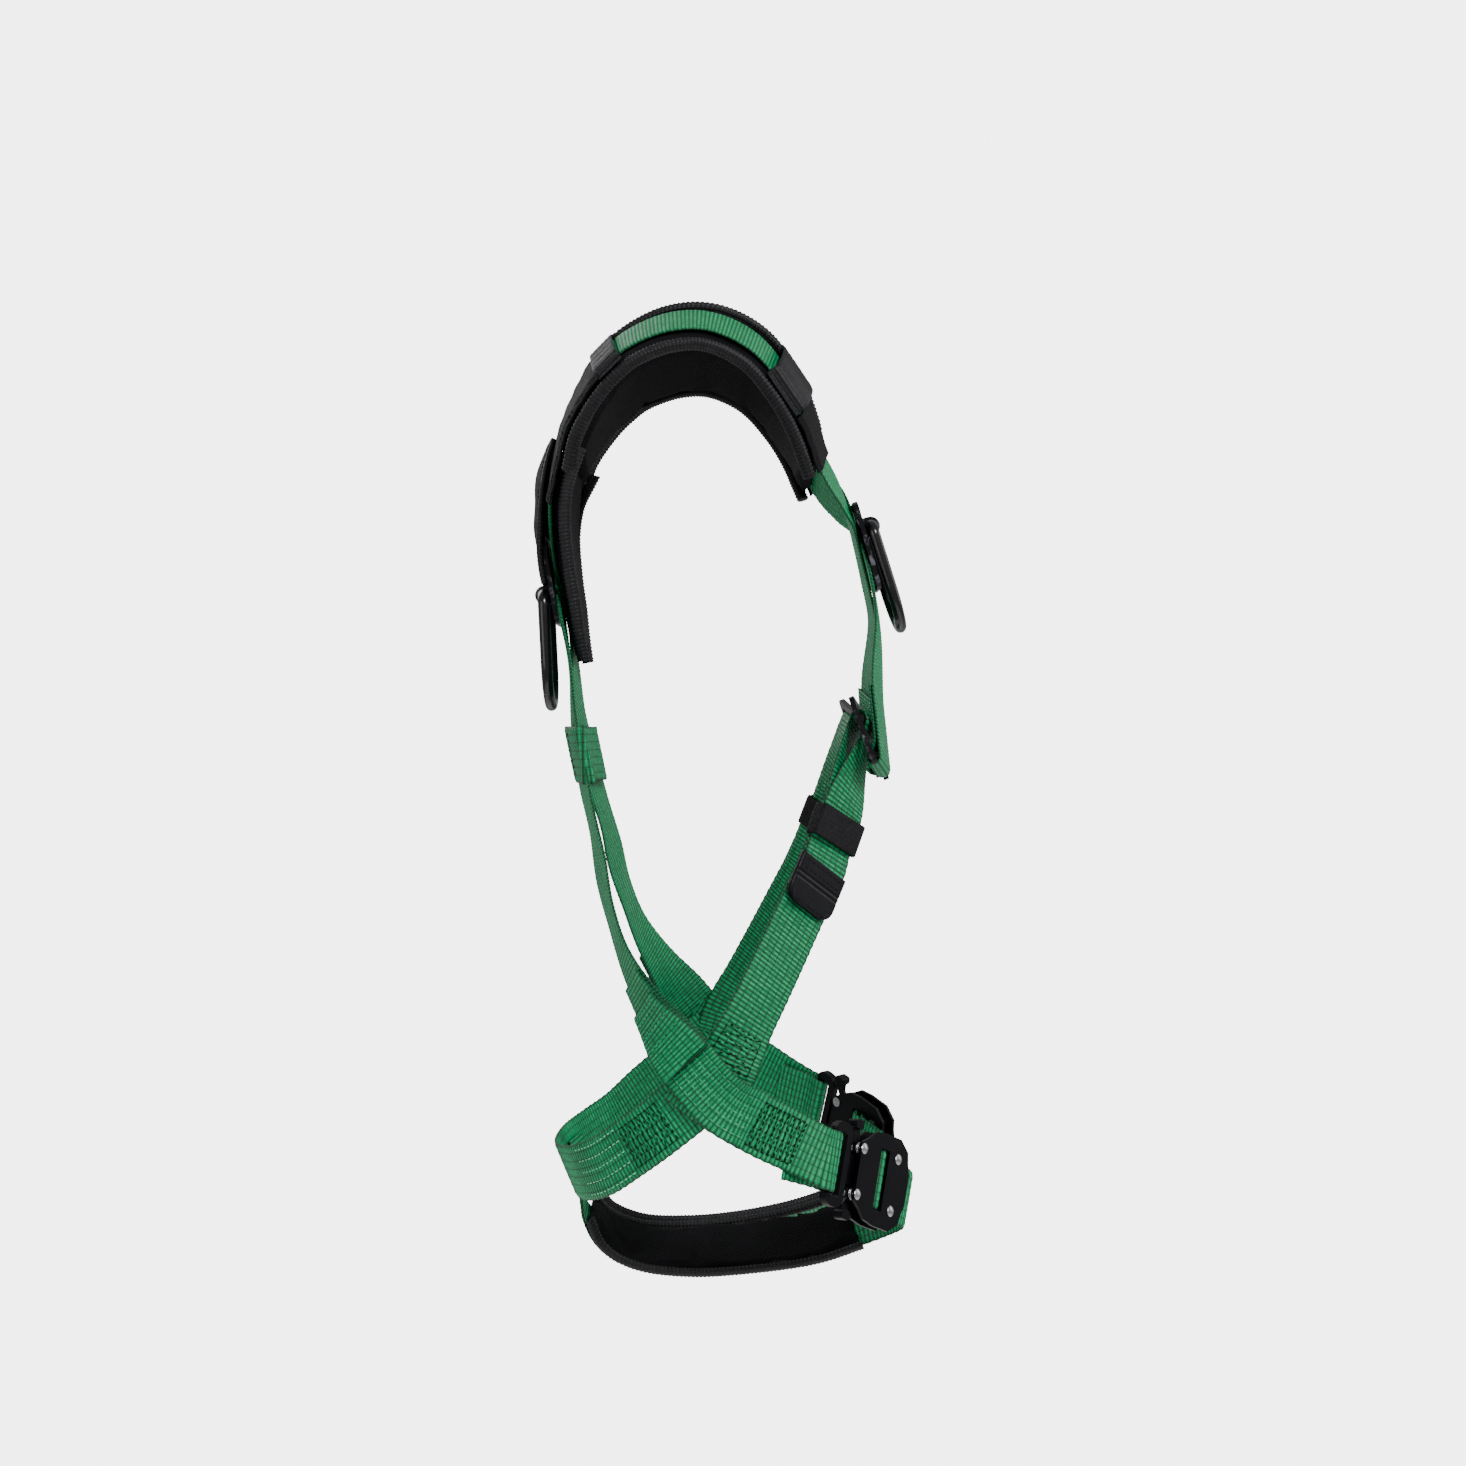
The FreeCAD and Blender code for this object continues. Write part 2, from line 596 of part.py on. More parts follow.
# ---- rings and their plates ----
def ring(drop):
    """Closed ring in its own plane: pivot bar along x at the origin, hanging towards -y."""
    half, corner, bar = RING_HALF_WIDTH, RING_CORNER, RING_BAR
    straight = half - corner
    start = Part.Face(Part.Wire(Part.makeCircle(bar, V(-straight, 0, 0), V(1, 0, 0))))
    solids = [start.extrude(V(2 * straight, 0, 0))]
    down = drop - half
    for sign in (-1, 1):
        face = Part.Face(Part.Wire(Part.makeCircle(bar, V(sign * straight, 0, 0), V(1, 0, 0))))
        solids.append(face.revolve(V(sign * straight, -corner, 0), V(0, 0, -sign), 90))
        leg = Part.Face(Part.Wire(Part.makeCircle(bar, V(sign * half, -corner, 0), V(0, 1, 0))))
        solids.append(leg.extrude(V(0, -(down - corner), 0)))
    bottom = Part.Face(Part.Wire(Part.makeCircle(bar, V(-half, -down, 0), V(0, 1, 0))))
    solids.append(bottom.revolve(V(0, -down, 0), V(0, 0, 1), 180))
    return solids[0].multiFuse(solids[1:]).removeSplitter()


def rounded_box(x0, y0, z0, x1, y1, z1, radius):
    """Box with its four upright edges rounded."""
    box = Part.makeBox(x1 - x0, y1 - y0, z1 - z0, V(x0, y0, z0))
    upright = [e for e in box.Edges if abs(e.Vertexes[0].Z - e.Vertexes[-1].Z) > 0.01]
    return box.makeFillet(radius, upright)


def ring_plate(half_width, top, bottom, pivot_y, pivot_z):
    """Plate that the webs cross behind, with four slots and two ears for the ring's bar."""
    thick = PLATE_THICK
    plate = rounded_box(-half_width, bottom, -thick / 2, half_width, top, thick / 2, 10.0)
    for sign in (-1, 1):
        for y, angle in ((top - 12, sign * -28), (bottom + 12, sign * 28)):
            slot = rounded_box(-14, -4, -thick, 14, 4, thick, 3.9)
            slot.rotate(V(0, 0, 0), V(0, 0, 1), angle)
            slot.translate(V(sign * (half_width - 16), y, 0))
            plate = plate.cut(slot)
        x = sign * EAR_PLACE - EAR_WIDTH / 2
        ear = Part.makeCylinder(EAR_RADIUS, EAR_WIDTH, V(x, pivot_y, pivot_z), V(1, 0, 0))
        post = Part.makeBox(EAR_WIDTH, 2 * EAR_RADIUS, pivot_z, V(x, pivot_y - EAR_RADIUS, 0))
        plate = plate.fuse([ear, post])
    hole = Part.makeCylinder(RING_BAR + PIVOT_GAP, 4 * EAR_PLACE, V(-2 * EAR_PLACE, pivot_y, pivot_z), V(1, 0, 0))
    plate = plate.cut(hole)
    return plate.removeSplitter()


def local_pivot(axes, pivot):
    """Along and outward place of a ring's pivot on its plate."""
    offset = pivot - axes.origin
    return offset.dot(axes.along), offset.dot(axes.outward)


def ring_axes(pivot, hang, outward):
    """Frame of a ring whose far end hangs along a direction."""
    return Axes(tuple(pivot), tuple(V(*hang) * -1), outward)


def rings_and_plates():
    pivot_y, pivot_z = local_pivot(DORSAL, DORSAL_PIVOT)
    save(DORSAL.put(ring_plate(RING_HALF_WIDTH, 29, -42, pivot_y, pivot_z)), "dorsal_plate")
    save(ring_axes(DORSAL_PIVOT, (0, -0.049, -0.999), (0, 1, 0)).put(ring(DORSAL_RING_DROP)), "dorsal_ring")
    pivot_y, pivot_z = local_pivot(STERNAL, STERNAL_PIVOT)
    save(STERNAL.put(ring_plate(36.0, 36, -36, pivot_y, pivot_z)), "sternal_plate")
    save(ring_axes(STERNAL_PIVOT, (0, -0.3, -0.954), (0, -1, 0)).put(ring(STERNAL_RING_DROP)), "sternal_ring")


# ---- torso adjusters ----
ADJUSTER_RAIL = 6.5
GROOVE_DEPTH = 3.5


def adjuster_frame():
    """Frame with a round fixed bar, and grooved side rails for the slider."""
    half, thick = ADJUSTER_WIDTH / 2, ADJUSTER_THICK
    inner = half - ADJUSTER_RAIL
    frame = rounded_box(-half, -27, -thick / 2, half, 31, thick / 2, 7.0)
    frame = frame.cut(rounded_box(-inner, -28, -thick, inner, 24, thick, 2.0))
    bar = Part.makeCylinder(ADJUSTER_BAR, 2 * inner + 2, V(-inner - 1, FIXED_BAR_PLACE, 0), V(1, 0, 0))
    frame = frame.fuse(bar)
    for sign in (-1, 1):
        x0 = sign * inner if sign > 0 else -inner - GROOVE_DEPTH
        groove = Part.makeBox(GROOVE_DEPTH, 6.4 + SLIDER_TRAVEL + 0.4, 2.2, V(x0, SLIDER_PLACE - 3.4, -1.1))
        frame = frame.cut(groove)
    return ADJUSTER.put(frame.removeSplitter())


def adjuster_slider():
    """Loose bar that pinches the web; its flat ends ride in the rails."""
    inner = ADJUSTER_WIDTH / 2 - ADJUSTER_RAIL
    bar = Part.makeCylinder(SLIDER_RADIUS, 2 * inner - 0.8, V(-inner + 0.4, SLIDER_PLACE, 0), V(1, 0, 0))
    reach = inner + GROOVE_DEPTH - 0.6
    tabs = Part.makeBox(2 * reach, 6.0, 1.6, V(-reach, SLIDER_PLACE - 3.0, -0.8))
    return ADJUSTER.put(bar.fuse(tabs).removeSplitter())


# ---- leg buckles, built with the buckle's length along x ----
def housing_outline():
    """Corners of the housing, from its loop-side end round."""
    s, e, h = HOUSING_START + 4, HOUSING_END, HOUSING_HALF
    half = [(s, 22), (s + 8, 27), (s + 16, 33.5), (s + 28, h), (e - 16, h), (e - 5, 28), (e - 3, 20), (e, 12)]
    return half + [(x, -y) for x, y in half[::-1]]


def housing_plate(z0, z1, extra):
    """One of the two plates, with its rivet holes and the window that the leg web passes through."""
    points = [V(x, y, z0) for x, y in housing_outline()]
    plate = Part.Face(Part.makePolygon(points + points[:1])).extrude(V(0, 0, z1 - z0))
    for x, y in rivet_places():
        plate = plate.cut(Part.makeCylinder(RIVET_RADIUS + 0.05, z1 - z0 + 2, V(x, y, z0 - 1)))
    middle, width, length = WINDOW
    width += extra
    cut = rounded_box(middle - width / 2, -length / 2, z0 - 1, middle + width / 2, length / 2, z1 + 1, 1.0)
    return plate.cut(cut)


def rivet_places():
    """Middles of the four rivets."""
    return [(x, sign * y) for x, y in (LEFT_RIVET, RIGHT_RIVET) for sign in (-1, 1)]


def rivets():
    """Four through rivets with domed heads, as separate solids."""
    solids = []
    for x, y in rivet_places():
        shaft = Part.makeCylinder(RIVET_RADIUS, 2 * PLATE_OUTER, V(x, y, -PLATE_OUTER))
        dome = Part.makeSphere(6.0, V(x, y, PLATE_OUTER + 2.0 - 6.0))
        slab = Part.makeCylinder(RIVET_HEAD, 3.0, V(x, y, PLATE_OUTER))
        flat = Part.makeCylinder(RIVET_HEAD, 0.8, V(x, y, -PLATE_OUTER - 0.8))
        solids.append(shaft.fuse([slab.common(dome), flat]).removeSplitter())
    return Part.makeCompound(solids)


def tongue():
    """Oval loop with a web bar, and a flat head that the two levers hold."""
    outer = rounded_box(0, -TONGUE_HALF, -3, 22, TONGUE_HALF, 3, 9.0)
    slot_half = WEB_WIDTH / 2 + 1.5
    loop = outer.cut(rounded_box(-2, -slot_half, -5, 15.5, slot_half, 5, 1.8))
    bar = Part.makeCylinder(TONGUE_BAR_RADIUS, 2 * slot_half + 4, V(TONGUE_BAR, -slot_half - 2, 0), V(0, 1, 0))
    neck = Part.makeBox(19.5, 23, LEVER_THICK, V(20, -11.5, -LEVER_THICK / 2))
    shank = Part.makeBox(9.5, 15, LEVER_THICK, V(39, -7.5, -LEVER_THICK / 2))
    head = rounded_box(47.3, -10.5, -LEVER_THICK / 2, 51.0, 10.5, LEVER_THICK / 2, 1.5)
    return loop.fuse([bar, neck, shank, head]).removeSplitter()


def lever(sign):
    """Flat catch that turns on a left rivet, with a tab outside and a hook behind the head."""
    px, py = LEFT_RIVET
    outline = [(px - 5, py + 4), (px - 9, 27), (px - 9, 37), (px - 1.5, 37), (px - 1, 27), (px + 5.5, py + 2),
               (px + 13, py - 4.5), (px + 12.6, py - 9.0), (px + 9.0, py - 9.0), (px + 8.0, py - 5.4),
               (px + 3, py - 4.2), (px - 4, py - 4)]
    thick = LEVER_THICK - 0.4
    points = [V(x, sign * y, -thick / 2) for x, y in outline]
    body = Part.Face(Part.makePolygon(points + points[:1])).extrude(V(0, 0, thick))
    tab = rounded_box(px - 10.5, 31, -4.2, px - 1, 38, 4.2, 2.5)
    if sign < 0:
        tab = tab.mirror(V(0, 0, 0), V(0, 1, 0))
    bore = Part.makeCylinder(RIVET_RADIUS + 0.2, 10, V(px, sign * py, -5))
    return body.fuse(tab).cut(bore).removeSplitter()


def springs():
    """The two coils of each lever's spring, as rings round the left rivets."""
    px, py = LEFT_RIVET
    solids = []
    for sign in (-1, 1):
        for level in (2.1, 3.3):
            solids.append(Part.makeTorus(SPRING_RADIUS, SPRING_WIRE, V(px, sign * py, level), V(0, 0, 1)))
    return Part.makeCompound(solids)


def web_bar():
    """Cross bar that the leg web folds over, its ends held between the two plates."""
    half = WEB_WIDTH / 2 + 1.0
    level = PLATE_OUTER - HOUSING_PLATE
    middle = WINDOW[0]
    bar = Part.makeCylinder(WEB_BAR_RADIUS, 2 * half, V(middle, -half, WEB_BAR_LIFT), V(0, 1, 0))
    ends = [Part.makeBox(7, 4, 2 * level, V(middle - 3.5, y0, -level)) for y0 in (half - 0.1, -half - 3.9)]
    return bar.fuse(ends).removeSplitter()


def buckles():
    top = PLATE_OUTER
    low = PLATE_OUTER - HOUSING_PLATE
    pieces = {
        "buckle_outer_plate": lambda: housing_plate(low, top, 0),
        "buckle_inner_plate": lambda: housing_plate(-top, -low, 4.0),
        "buckle_rivets": rivets,
        "buckle_tongue": tongue,
        "buckle_upper_lever": lambda: lever(1),
        "buckle_lower_lever": lambda: lever(-1),
        "buckle_springs": springs,
        "buckle_web_bar": web_bar,
    }
    for name, build in pieces.items():
        save_pair(lambda: BUCKLE.put(build()), name)


def main():
    os.makedirs("parts", exist_ok=True)
    for side, left in SIDES:
        save(shoulder_web(left), "shoulder_web_" + side)
        save(back_web(left), "back_web_" + side)
    save(back_pad(), "back_pad")
    save(dorsal_cover(), "dorsal_cover")
    save(lumbar_strap(), "lumbar_strap")
    save(seat_strap(), "seat_strap")
    save_pair(shoulder_pad, "shoulder_pad")
    save_pair(lambda: sleeve(REAR_SLEEVE), "rear_sleeve")
    save_pair(lambda: sleeve(FRONT_SLEEVE), "front_sleeve")
    save_pair(rear_keeper, "rear_keeper")
    save_pair(front_keeper, "front_keeper")
    save_pair(lower_front_web, "lower_front_web")
    save_pair(strap_tip, "strap_tip")
    save_pair(tail_keeper, "tail_keeper")
    save_pair(leg_front_web, "leg_front_web")
    save_pair(leg_web, "leg_web")
    save_pair(leg_pad, "leg_pad")
    save_pair(adjuster_frame, "adjuster_frame")
    save_pair(adjuster_slider, "adjuster_slider")
    rings_and_plates()
    buckles()


main()
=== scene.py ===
"""Looks of the full-body harness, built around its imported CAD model. Routes are in millimetres."""
import math

import bpy
import numpy as np
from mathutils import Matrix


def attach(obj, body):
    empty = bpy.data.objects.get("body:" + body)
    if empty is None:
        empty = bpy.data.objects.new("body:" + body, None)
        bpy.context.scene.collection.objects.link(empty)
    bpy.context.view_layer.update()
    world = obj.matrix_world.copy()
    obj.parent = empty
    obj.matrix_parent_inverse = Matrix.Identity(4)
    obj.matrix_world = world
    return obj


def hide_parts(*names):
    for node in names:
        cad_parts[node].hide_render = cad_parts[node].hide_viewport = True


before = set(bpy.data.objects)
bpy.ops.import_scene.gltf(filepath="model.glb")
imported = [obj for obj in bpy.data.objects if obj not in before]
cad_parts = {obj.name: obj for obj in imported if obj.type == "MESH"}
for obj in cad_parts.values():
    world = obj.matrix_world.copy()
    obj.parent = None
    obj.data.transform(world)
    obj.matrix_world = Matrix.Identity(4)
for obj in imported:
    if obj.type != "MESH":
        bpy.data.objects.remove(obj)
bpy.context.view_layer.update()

# Driving sizes, in millimetres unless a name says otherwise.
MM = 0.001  # metres
WEB = 45.0
THICK = 2.6
LAYER = 2.8  # from one web to the next on top of it
COLUMNS = 7  # warp columns across a web
PAD_WIDTH = 77.0
PAD_THICK = 9.0
PAD_DEPTH = PAD_THICK / 2 + 0.6 + THICK / 2  # from the web's middle to the pad's
LEG_PAD_WIDTH = 58.0
LEG_PAD_THICK = 7.0
BINDING_REACH = 3.6
SIDES = (("r", 1), ("l", -1))

# ---------------------------------------------------------------- materials


class Nodes:
    """Short names for building one material's node tree."""

    def __init__(self, name):
        self.material = bpy.data.materials.new(name)
        self.material.use_nodes = True
        self.tree = self.material.node_tree
        self.tree.nodes.clear()
        self.shader = self.node("BsdfPrincipled")
        self.tree.links.new(self.shader.outputs[0], self.node("OutputMaterial").inputs[0])

    def feed(self, socket, value):
        """A constant or another node's output into a socket."""
        if isinstance(value, bpy.types.NodeSocket):
            self.tree.links.new(value, socket)
        else:
            socket.default_value = value

    def fill(self, node, **inputs):
        """Feeds a node's inputs by name, where an underscore stands for a space and None is left out."""
        for name, value in inputs.items():
            if value is not None:
                self.feed(node.inputs[name.replace("_", " ")], value)
        return node

    def node(self, kind, **inputs):
        return self.fill(self.tree.nodes.new("ShaderNode" + kind), **inputs)

    def math(self, operation, *values):
        node = self.node("Math")
        node.operation = operation
        for socket, value in zip(node.inputs, values):
            self.feed(socket, value)
        return node.outputs[0]

    def times(self, first, second):
        return self.math("MULTIPLY", first, second)

    def about(self, value, spread, middle):
        """A value from 0 to 1 spread round a middle."""
        return self.math("MULTIPLY_ADD", value, spread, middle - spread / 2)

    def wave(self, value, pitch, shift=0.0):
        """From 0 to 1 and back once per pitch."""
        turns = self.math("MULTIPLY_ADD", value, 2 * math.pi / pitch, shift)
        return self.math("MULTIPLY_ADD", self.math("SINE", turns), 0.5, 0.5)

    def band(self, value, low, high):
        """0 below low, 1 above high, smooth between."""
        node = self.node("MapRange", Value=value, From_Min=low, From_Max=high)
        node.interpolation_type = "SMOOTHSTEP"
        return node.outputs["Result"]

    def noise(self, place, scale, detail=3.0, rough=0.55):
        node = self.node("TexNoise", Vector=place, Scale=scale, Detail=detail, Roughness=rough)
        return node.outputs["Fac"]

    def mix(self, factor, first, second):
        node = self.node("Mix")
        node.data_type = "RGBA"
        return self.fill(node, Factor=factor, A=first, B=second).outputs["Result"]

    def place(self):
        """Place on the object, in metres, fixed to the mesh."""
        return self.node("TexCoord").outputs["Object"]

    def split(self, vector):
        """The x, y and z of a vector."""
        return self.node("SeparateXYZ", Vector=vector).outputs

    def across_along(self):
        """Place across and along a strap, in metres, from its UV map."""
        source = self.node("UVMap")
        source.uv_map = "strap"
        return self.split(source.outputs[0])[:2]

    def bump(self, height, distance, strength=1.0, below=None):
        node = self.node("Bump", Height=height, Distance=distance, Strength=strength, Normal=below)
        return node.outputs[0]

    def finish(self, color, rough, normal=None, **constants):
        self.fill(self.shader, Base_Color=color, Roughness=rough, Normal=normal, **constants)
        return self.material


def srgb(*screen):
    """Linear colour of an 8-bit screen colour."""
    shares = [v / 255 for v in screen]
    return tuple(v / 12.92 if v <= 0.04045 else ((v + 0.055) / 1.055) ** 2.4 for v in shares) + (1.0,)


def shade(screen, gain, add=0.0):
    """Linear colour of a screen colour, made brighter or darker."""
    return tuple(c * gain + add for c in srgb(*screen)[:3]) + (1.0,)


def webbing(name, light, dark, lines, rib_highlight, rib=3.0, rough=0.46, gloss=0.22):
    """Flat-woven webbing: weft ribs with a painted highlight on their tops, faint warp columns, painted
    shade in the grooves between ribs and between columns, and darker selvedges.
    """
    light, dark, lines, rib_highlight = srgb(*light), srgb(*dark), srgb(*lines), srgb(*rib_highlight)
    warp_pitch, twill_pitch = 0.0011, 0.0015
    half = WEB * MM / 2
    n = Nodes(name)
    u, v = n.across_along()
    warp = n.wave(u, warp_pitch)
    weft = n.wave(v, rib * MM, math.pi / 2)
    yarns = n.times(warp, n.wave(n.math("ADD", v, n.times(u, 0.9)), twill_pitch))
    edge = n.math("ABSOLUTE", n.math("SUBTRACT", u, half))
    selvedge = n.band(edge, half - 0.0022, half - 0.0012)
    between = n.band(n.wave(u, WEB * MM / COLUMNS, -math.pi / 2), 0.08, 0.015)
    cloudy = n.noise(n.place(), 38, 4)
    streak = n.noise(n.place(), 240, 2)
    # Painted highlight: the tops of the weft ribs, in streaks, take the highlight colour.
    glint = n.times(n.band(weft, 0.55, 0.95), n.band(streak, 0.35, 0.62))
    color = n.mix(n.times(n.band(cloudy, 0.35, 0.8), 0.3), light, dark)
    color = n.mix(n.times(streak, 0.25), color, dark)
    color = n.mix(n.times(glint, 0.75), color, rib_highlight)
    # Painted shade: the lines colour darkens the grooves between weft ribs and between warp columns; it
    # also darkens the selvedges.
    for mask, share in ((n.band(weft, 0.35, 0.0), 0.75), (between, 0.6), (selvedge, 0.4)):
        color = n.mix(n.times(mask, share), color, lines)
    height = n.math("ADD", n.times(yarns, 0.5), n.times(weft, 0.5))
    normal = n.bump(height, 0.0004, 0.9, n.bump(streak, 0.0003, 0.5))
    return n.finish(color, n.about(cloudy, 0.2, rough), normal, Specular_IOR_Level=gloss)


def cloth(name, base, dark, pitch, rough=0.7, fuzz=0.0005):
    """Woven cover fabric that needs no UV map."""
    n = Nodes(name)
    spot = n.place()
    x, y, z = n.split(spot)
    one = n.wave(n.math("ADD", z, n.times(y, 0.7)), pitch)
    two = n.wave(n.math("SUBTRACT", n.times(y, 0.8), n.times(x, 0.9)), pitch)
    weave = n.times(one, two)
    cloudy = n.noise(spot, 30, 5)
    color = n.mix(n.band(cloudy, 0.32, 0.7), srgb(*dark), srgb(*base))
    # Painted shade: the colour darkens where the weave is low, in its hollows.
    color = n.mix(n.times(n.math("SUBTRACT", 1.0, weave), 0.35), color, srgb(*dark))
    wrinkle = n.bump(n.noise(spot, 55, 3), 0.0012, 0.55)
    normal = n.bump(weave, fuzz, 0.8, n.bump(n.noise(spot, 900, 2), 0.0003, 0.5, wrinkle))
    return n.finish(color, n.about(cloudy, 0.16, rough), normal,
                    Sheen_Weight=0.015, Sheen_Roughness=0.45, Specular_IOR_Level=0.08)


def thread(name, base, dark):
    """Sewing thread, as a very fine cloth."""
    return cloth(name, base, dark, 0.0006, rough=0.6, fuzz=0.0002)


def coated(name, base, rough, grain=420, gloss=0.4):
    """Powder-coated or plated dark steel with fine scuffs."""
    n = Nodes(name)
    spot = n.place()
    scuff = n.noise(spot, 60, 6, 0.65)
    color = n.mix(n.band(scuff, 0.58, 0.8), srgb(*base), shade(base, 2, 0.002))
    roughness = n.math("ADD", rough, n.times(n.band(scuff, 0.45, 0.8), 0.16))
    normal = n.bump(n.noise(spot, grain, 3), 0.00012, 0.5)
    return n.finish(color, roughness, normal, Specular_IOR_Level=gloss)


def steel(name, base, rough):
    """Bare steel with drawn lines."""
    n = Nodes(name)
    spot = n.place()
    lines = n.noise(spot, 320, 4, 0.7)
    color = n.mix(n.band(n.noise(spot, 45, 5), 0.35, 0.7), srgb(*base), shade(base, 0.72))
    normal = n.bump(n.math("ADD", lines, n.wave(n.split(spot)[2], 0.0004)), 0.00008, 0.35)
    return n.finish(color, n.about(lines, 0.16, rough), normal, Metallic=1.0)


def edged(name, outward, rough):
    """Dark plate whose cut edges and chamfers are painted lighter grey in patches, part wear showing bare
    metal and part painted glint; outward is the way its face looks.
    """
    n = Nodes(name)
    dot = n.node("VectorMath")
    dot.operation = "DOT_PRODUCT"
    n.tree.links.new(n.node("NewGeometry").outputs["True Normal"], dot.inputs[0])
    dot.inputs[1].default_value = outward
    flat = n.math("ABSOLUTE", dot.outputs["Value"])
    spot = n.place()
    wear_and_glint = n.noise(spot, 90, 5, 0.6)
    # Lighter grey patches on the edges: partly wear showing bare metal, partly a painted glint.
    bare = n.times(n.math("SUBTRACT", 1.0, n.band(flat, 0.25, 0.6)), n.band(wear_and_glint, 0.52, 0.66))
    color = n.mix(bare, srgb(5, 5, 8), srgb(84, 84, 92))
    normal = n.bump(n.noise(spot, 500, 3), 0.0001, 0.5)
    return n.finish(color, n.math("MULTIPLY_ADD", wear_and_glint, 0.2, rough - 0.08), normal, Specular_IOR_Level=0.2)


def moulded(name, base, rough):
    """Moulded plastic with a fine leathery grain."""
    n = Nodes(name)
    spot = n.place()
    grain = n.noise(spot, 1400, 2)
    color = n.mix(n.band(n.noise(spot, 70, 4), 0.35, 0.7), srgb(*base), shade(base, 1.7))
    return n.finish(color, n.about(grain, 0.2, rough), n.bump(grain, 0.00015, 0.6), Specular_IOR_Level=0.14)


FINE_RIB, HEAVY_RIB, ELASTIC_RIB = 3.4, 3.6, 1.6
# Each webbing below gets two tones, then the painted shade of its grooves, then the painted highlight of
# its rib tops.
RIB_HIGHLIGHT = (24, 168, 108)
GREEN = webbing("green_webbing", (0, 126, 74), (0, 84, 48), (0, 30, 16), RIB_HIGHLIGHT)
GREEN_FINE = webbing("green_webbing_fine", (0, 116, 68), (0, 78, 44), (0, 24, 12), RIB_HIGHLIGHT, rib=FINE_RIB)
GREEN_HEAVY = webbing("green_webbing_heavy", (0, 126, 74), (0, 80, 46), (0, 20, 9), RIB_HIGHLIGHT, rib=HEAVY_RIB)
BLACK_TAPE = webbing("black_tape", (9, 9, 13), (4, 4, 6), (0, 0, 1), (34, 34, 42), gloss=0.25)
ELASTIC = webbing("black_elastic", (12, 11, 15), (6, 6, 8), (1, 1, 2), (30, 30, 36), rib=ELASTIC_RIB,
                  rough=0.6, gloss=0.16)
PADDING = cloth("pad_fabric", (10, 10, 14), (4, 4, 6), 0.0016)
LINING = cloth("leg_pad_fabric", (17, 16, 20), (7, 7, 9), 0.0021, rough=0.8)
THREAD_LIGHT = thread("light_thread", (170, 232, 200), (110, 196, 150))
THREAD_MID = thread("mid_thread", (96, 190, 144), (50, 148, 100))
THREAD_DARK = thread("dark_thread", (0, 40, 20), (0, 22, 10))
THREAD_BLACK = thread("black_thread", (26, 25, 30), (12, 12, 15))
BLACK_METAL = coated("black_coated_steel", (7, 6, 10), 0.2)
BUCKLE_METAL = coated("buckle_coating", (4, 4, 7), 0.36, grain=700, gloss=0.1)
STEEL = steel("bare_steel", (168, 167, 170), 0.26)
PLASTIC = moulded("moulded_tip", (6, 6, 10), 0.4)

# ---------------------------------------------------------------- routes


def unit(v):
    v = np.asarray(v, float)
    return v / np.linalg.norm(v)


class Axes:
    """A local frame: origin, across (x), along (y) and outward (z)."""

    def __init__(self, origin, along, outward):
        self.origin = np.asarray(origin, float)
        self.along = unit(along)
        out = np.asarray(outward, float)
        self.outward = unit(out - self.along * out.dot(self.along))
        self.across = np.cross(self.along, self.outward)

    def point(self, x, y, z):
        return self.origin + self.across * x + self.along * y + self.outward * z

    def station(self, place, facing):
        turned = self.across * facing[0] + self.along * facing[1] + self.outward * facing[2]
        return tuple(self.point(*place)) + tuple(turned)


DORSAL = Axes((0, 131.9, 387), (0, 0.172, 0.985), (0, 0.985, -0.172))
STERNAL = Axes((0, -121, 408), (0, 0.275, 0.962), (0, -0.962, 0.275))
ADJUSTER = Axes((-65, -121, 253), (0.32, 0.31, 0.895), (-0.123, -0.921, 0.369))
FIXED_BAR, FIXED_RADIUS = -20.0, 3.5  # the adjuster's bars, by their place along it
SLIDER_BAR, SLIDER_RADIUS = 14.7, 4.0
BAR_GAP = 0.3
BUCKLE_OUT = np.array((-0.640, -0.769, 0.085))
BUCKLE_ALONG = np.array((0.695, -0.620, -0.374))
BUCKLE = Axes((-145, -85, -59), np.cross(BUCKLE_OUT, BUCKLE_ALONG), BUCKLE_OUT)
BUCKLE_BAR, BUCKLE_BAR_RADIUS = 60.0, 1.9  # the web bar, by its place along the buckle
TIP = Axes((-99.2, -80.8, 157.5), (14.4, -15, 34), (-0.6, -0.74, 0.31))
TIP_LIFT = 4.9  # from the web below to the tail's middle


def lifted(stations, offset):
    """The same stations moved outward."""
    return [tuple(np.asarray(row[:3]) + unit(row[3:6]) * offset) + tuple(row[3:]) for row in stations]


def turned(stations):
    """The same stations as seen from the other side of the wearer."""
    return [(-x, y, z, -nx, ny, nz) for x, y, z, nx, ny, nz in stations]


def hip(y, z, layer):
    """Station on the side of the hip, a number of layers of web out from the body."""
    centre, half_depth, half_width, taper = -5, 117.6, 163.6, 0.0004
    depth = half_depth + layer * LAYER
    width = (half_width + layer * LAYER) * (1 - taper * max(z, 0))
    x = -width * math.sqrt(1 - ((y - centre) / depth) ** 2)
    facing = unit((x / width ** 2, (y - centre) / depth ** 2, 0))
    return (x, y, z, facing[0], facing[1], 0)


def along_buckle(x, z, facing):
    """Station in the buckle's middle plane."""
    return BUCKLE.station((x, 0, z), (facing[0], 0, facing[1]))


def along_adjuster(y, z, facing):
    """Station in the adjuster's middle plane."""
    return ADJUSTER.station((0, y, z), (0, facing[0], facing[1]))


def arc(station, centre, height, radius, start, end, step=15):
    """Stations round a bar, in the plane of along_buckle or along_adjuster; angles in degrees."""
    result = []
    for angle in np.radians(np.linspace(start, end, round(abs(end - start) / step) + 1)):
        a, o = math.cos(angle), math.sin(angle)
        result.append(station(centre + radius * a, height + radius * o, (a, o)))
    return result


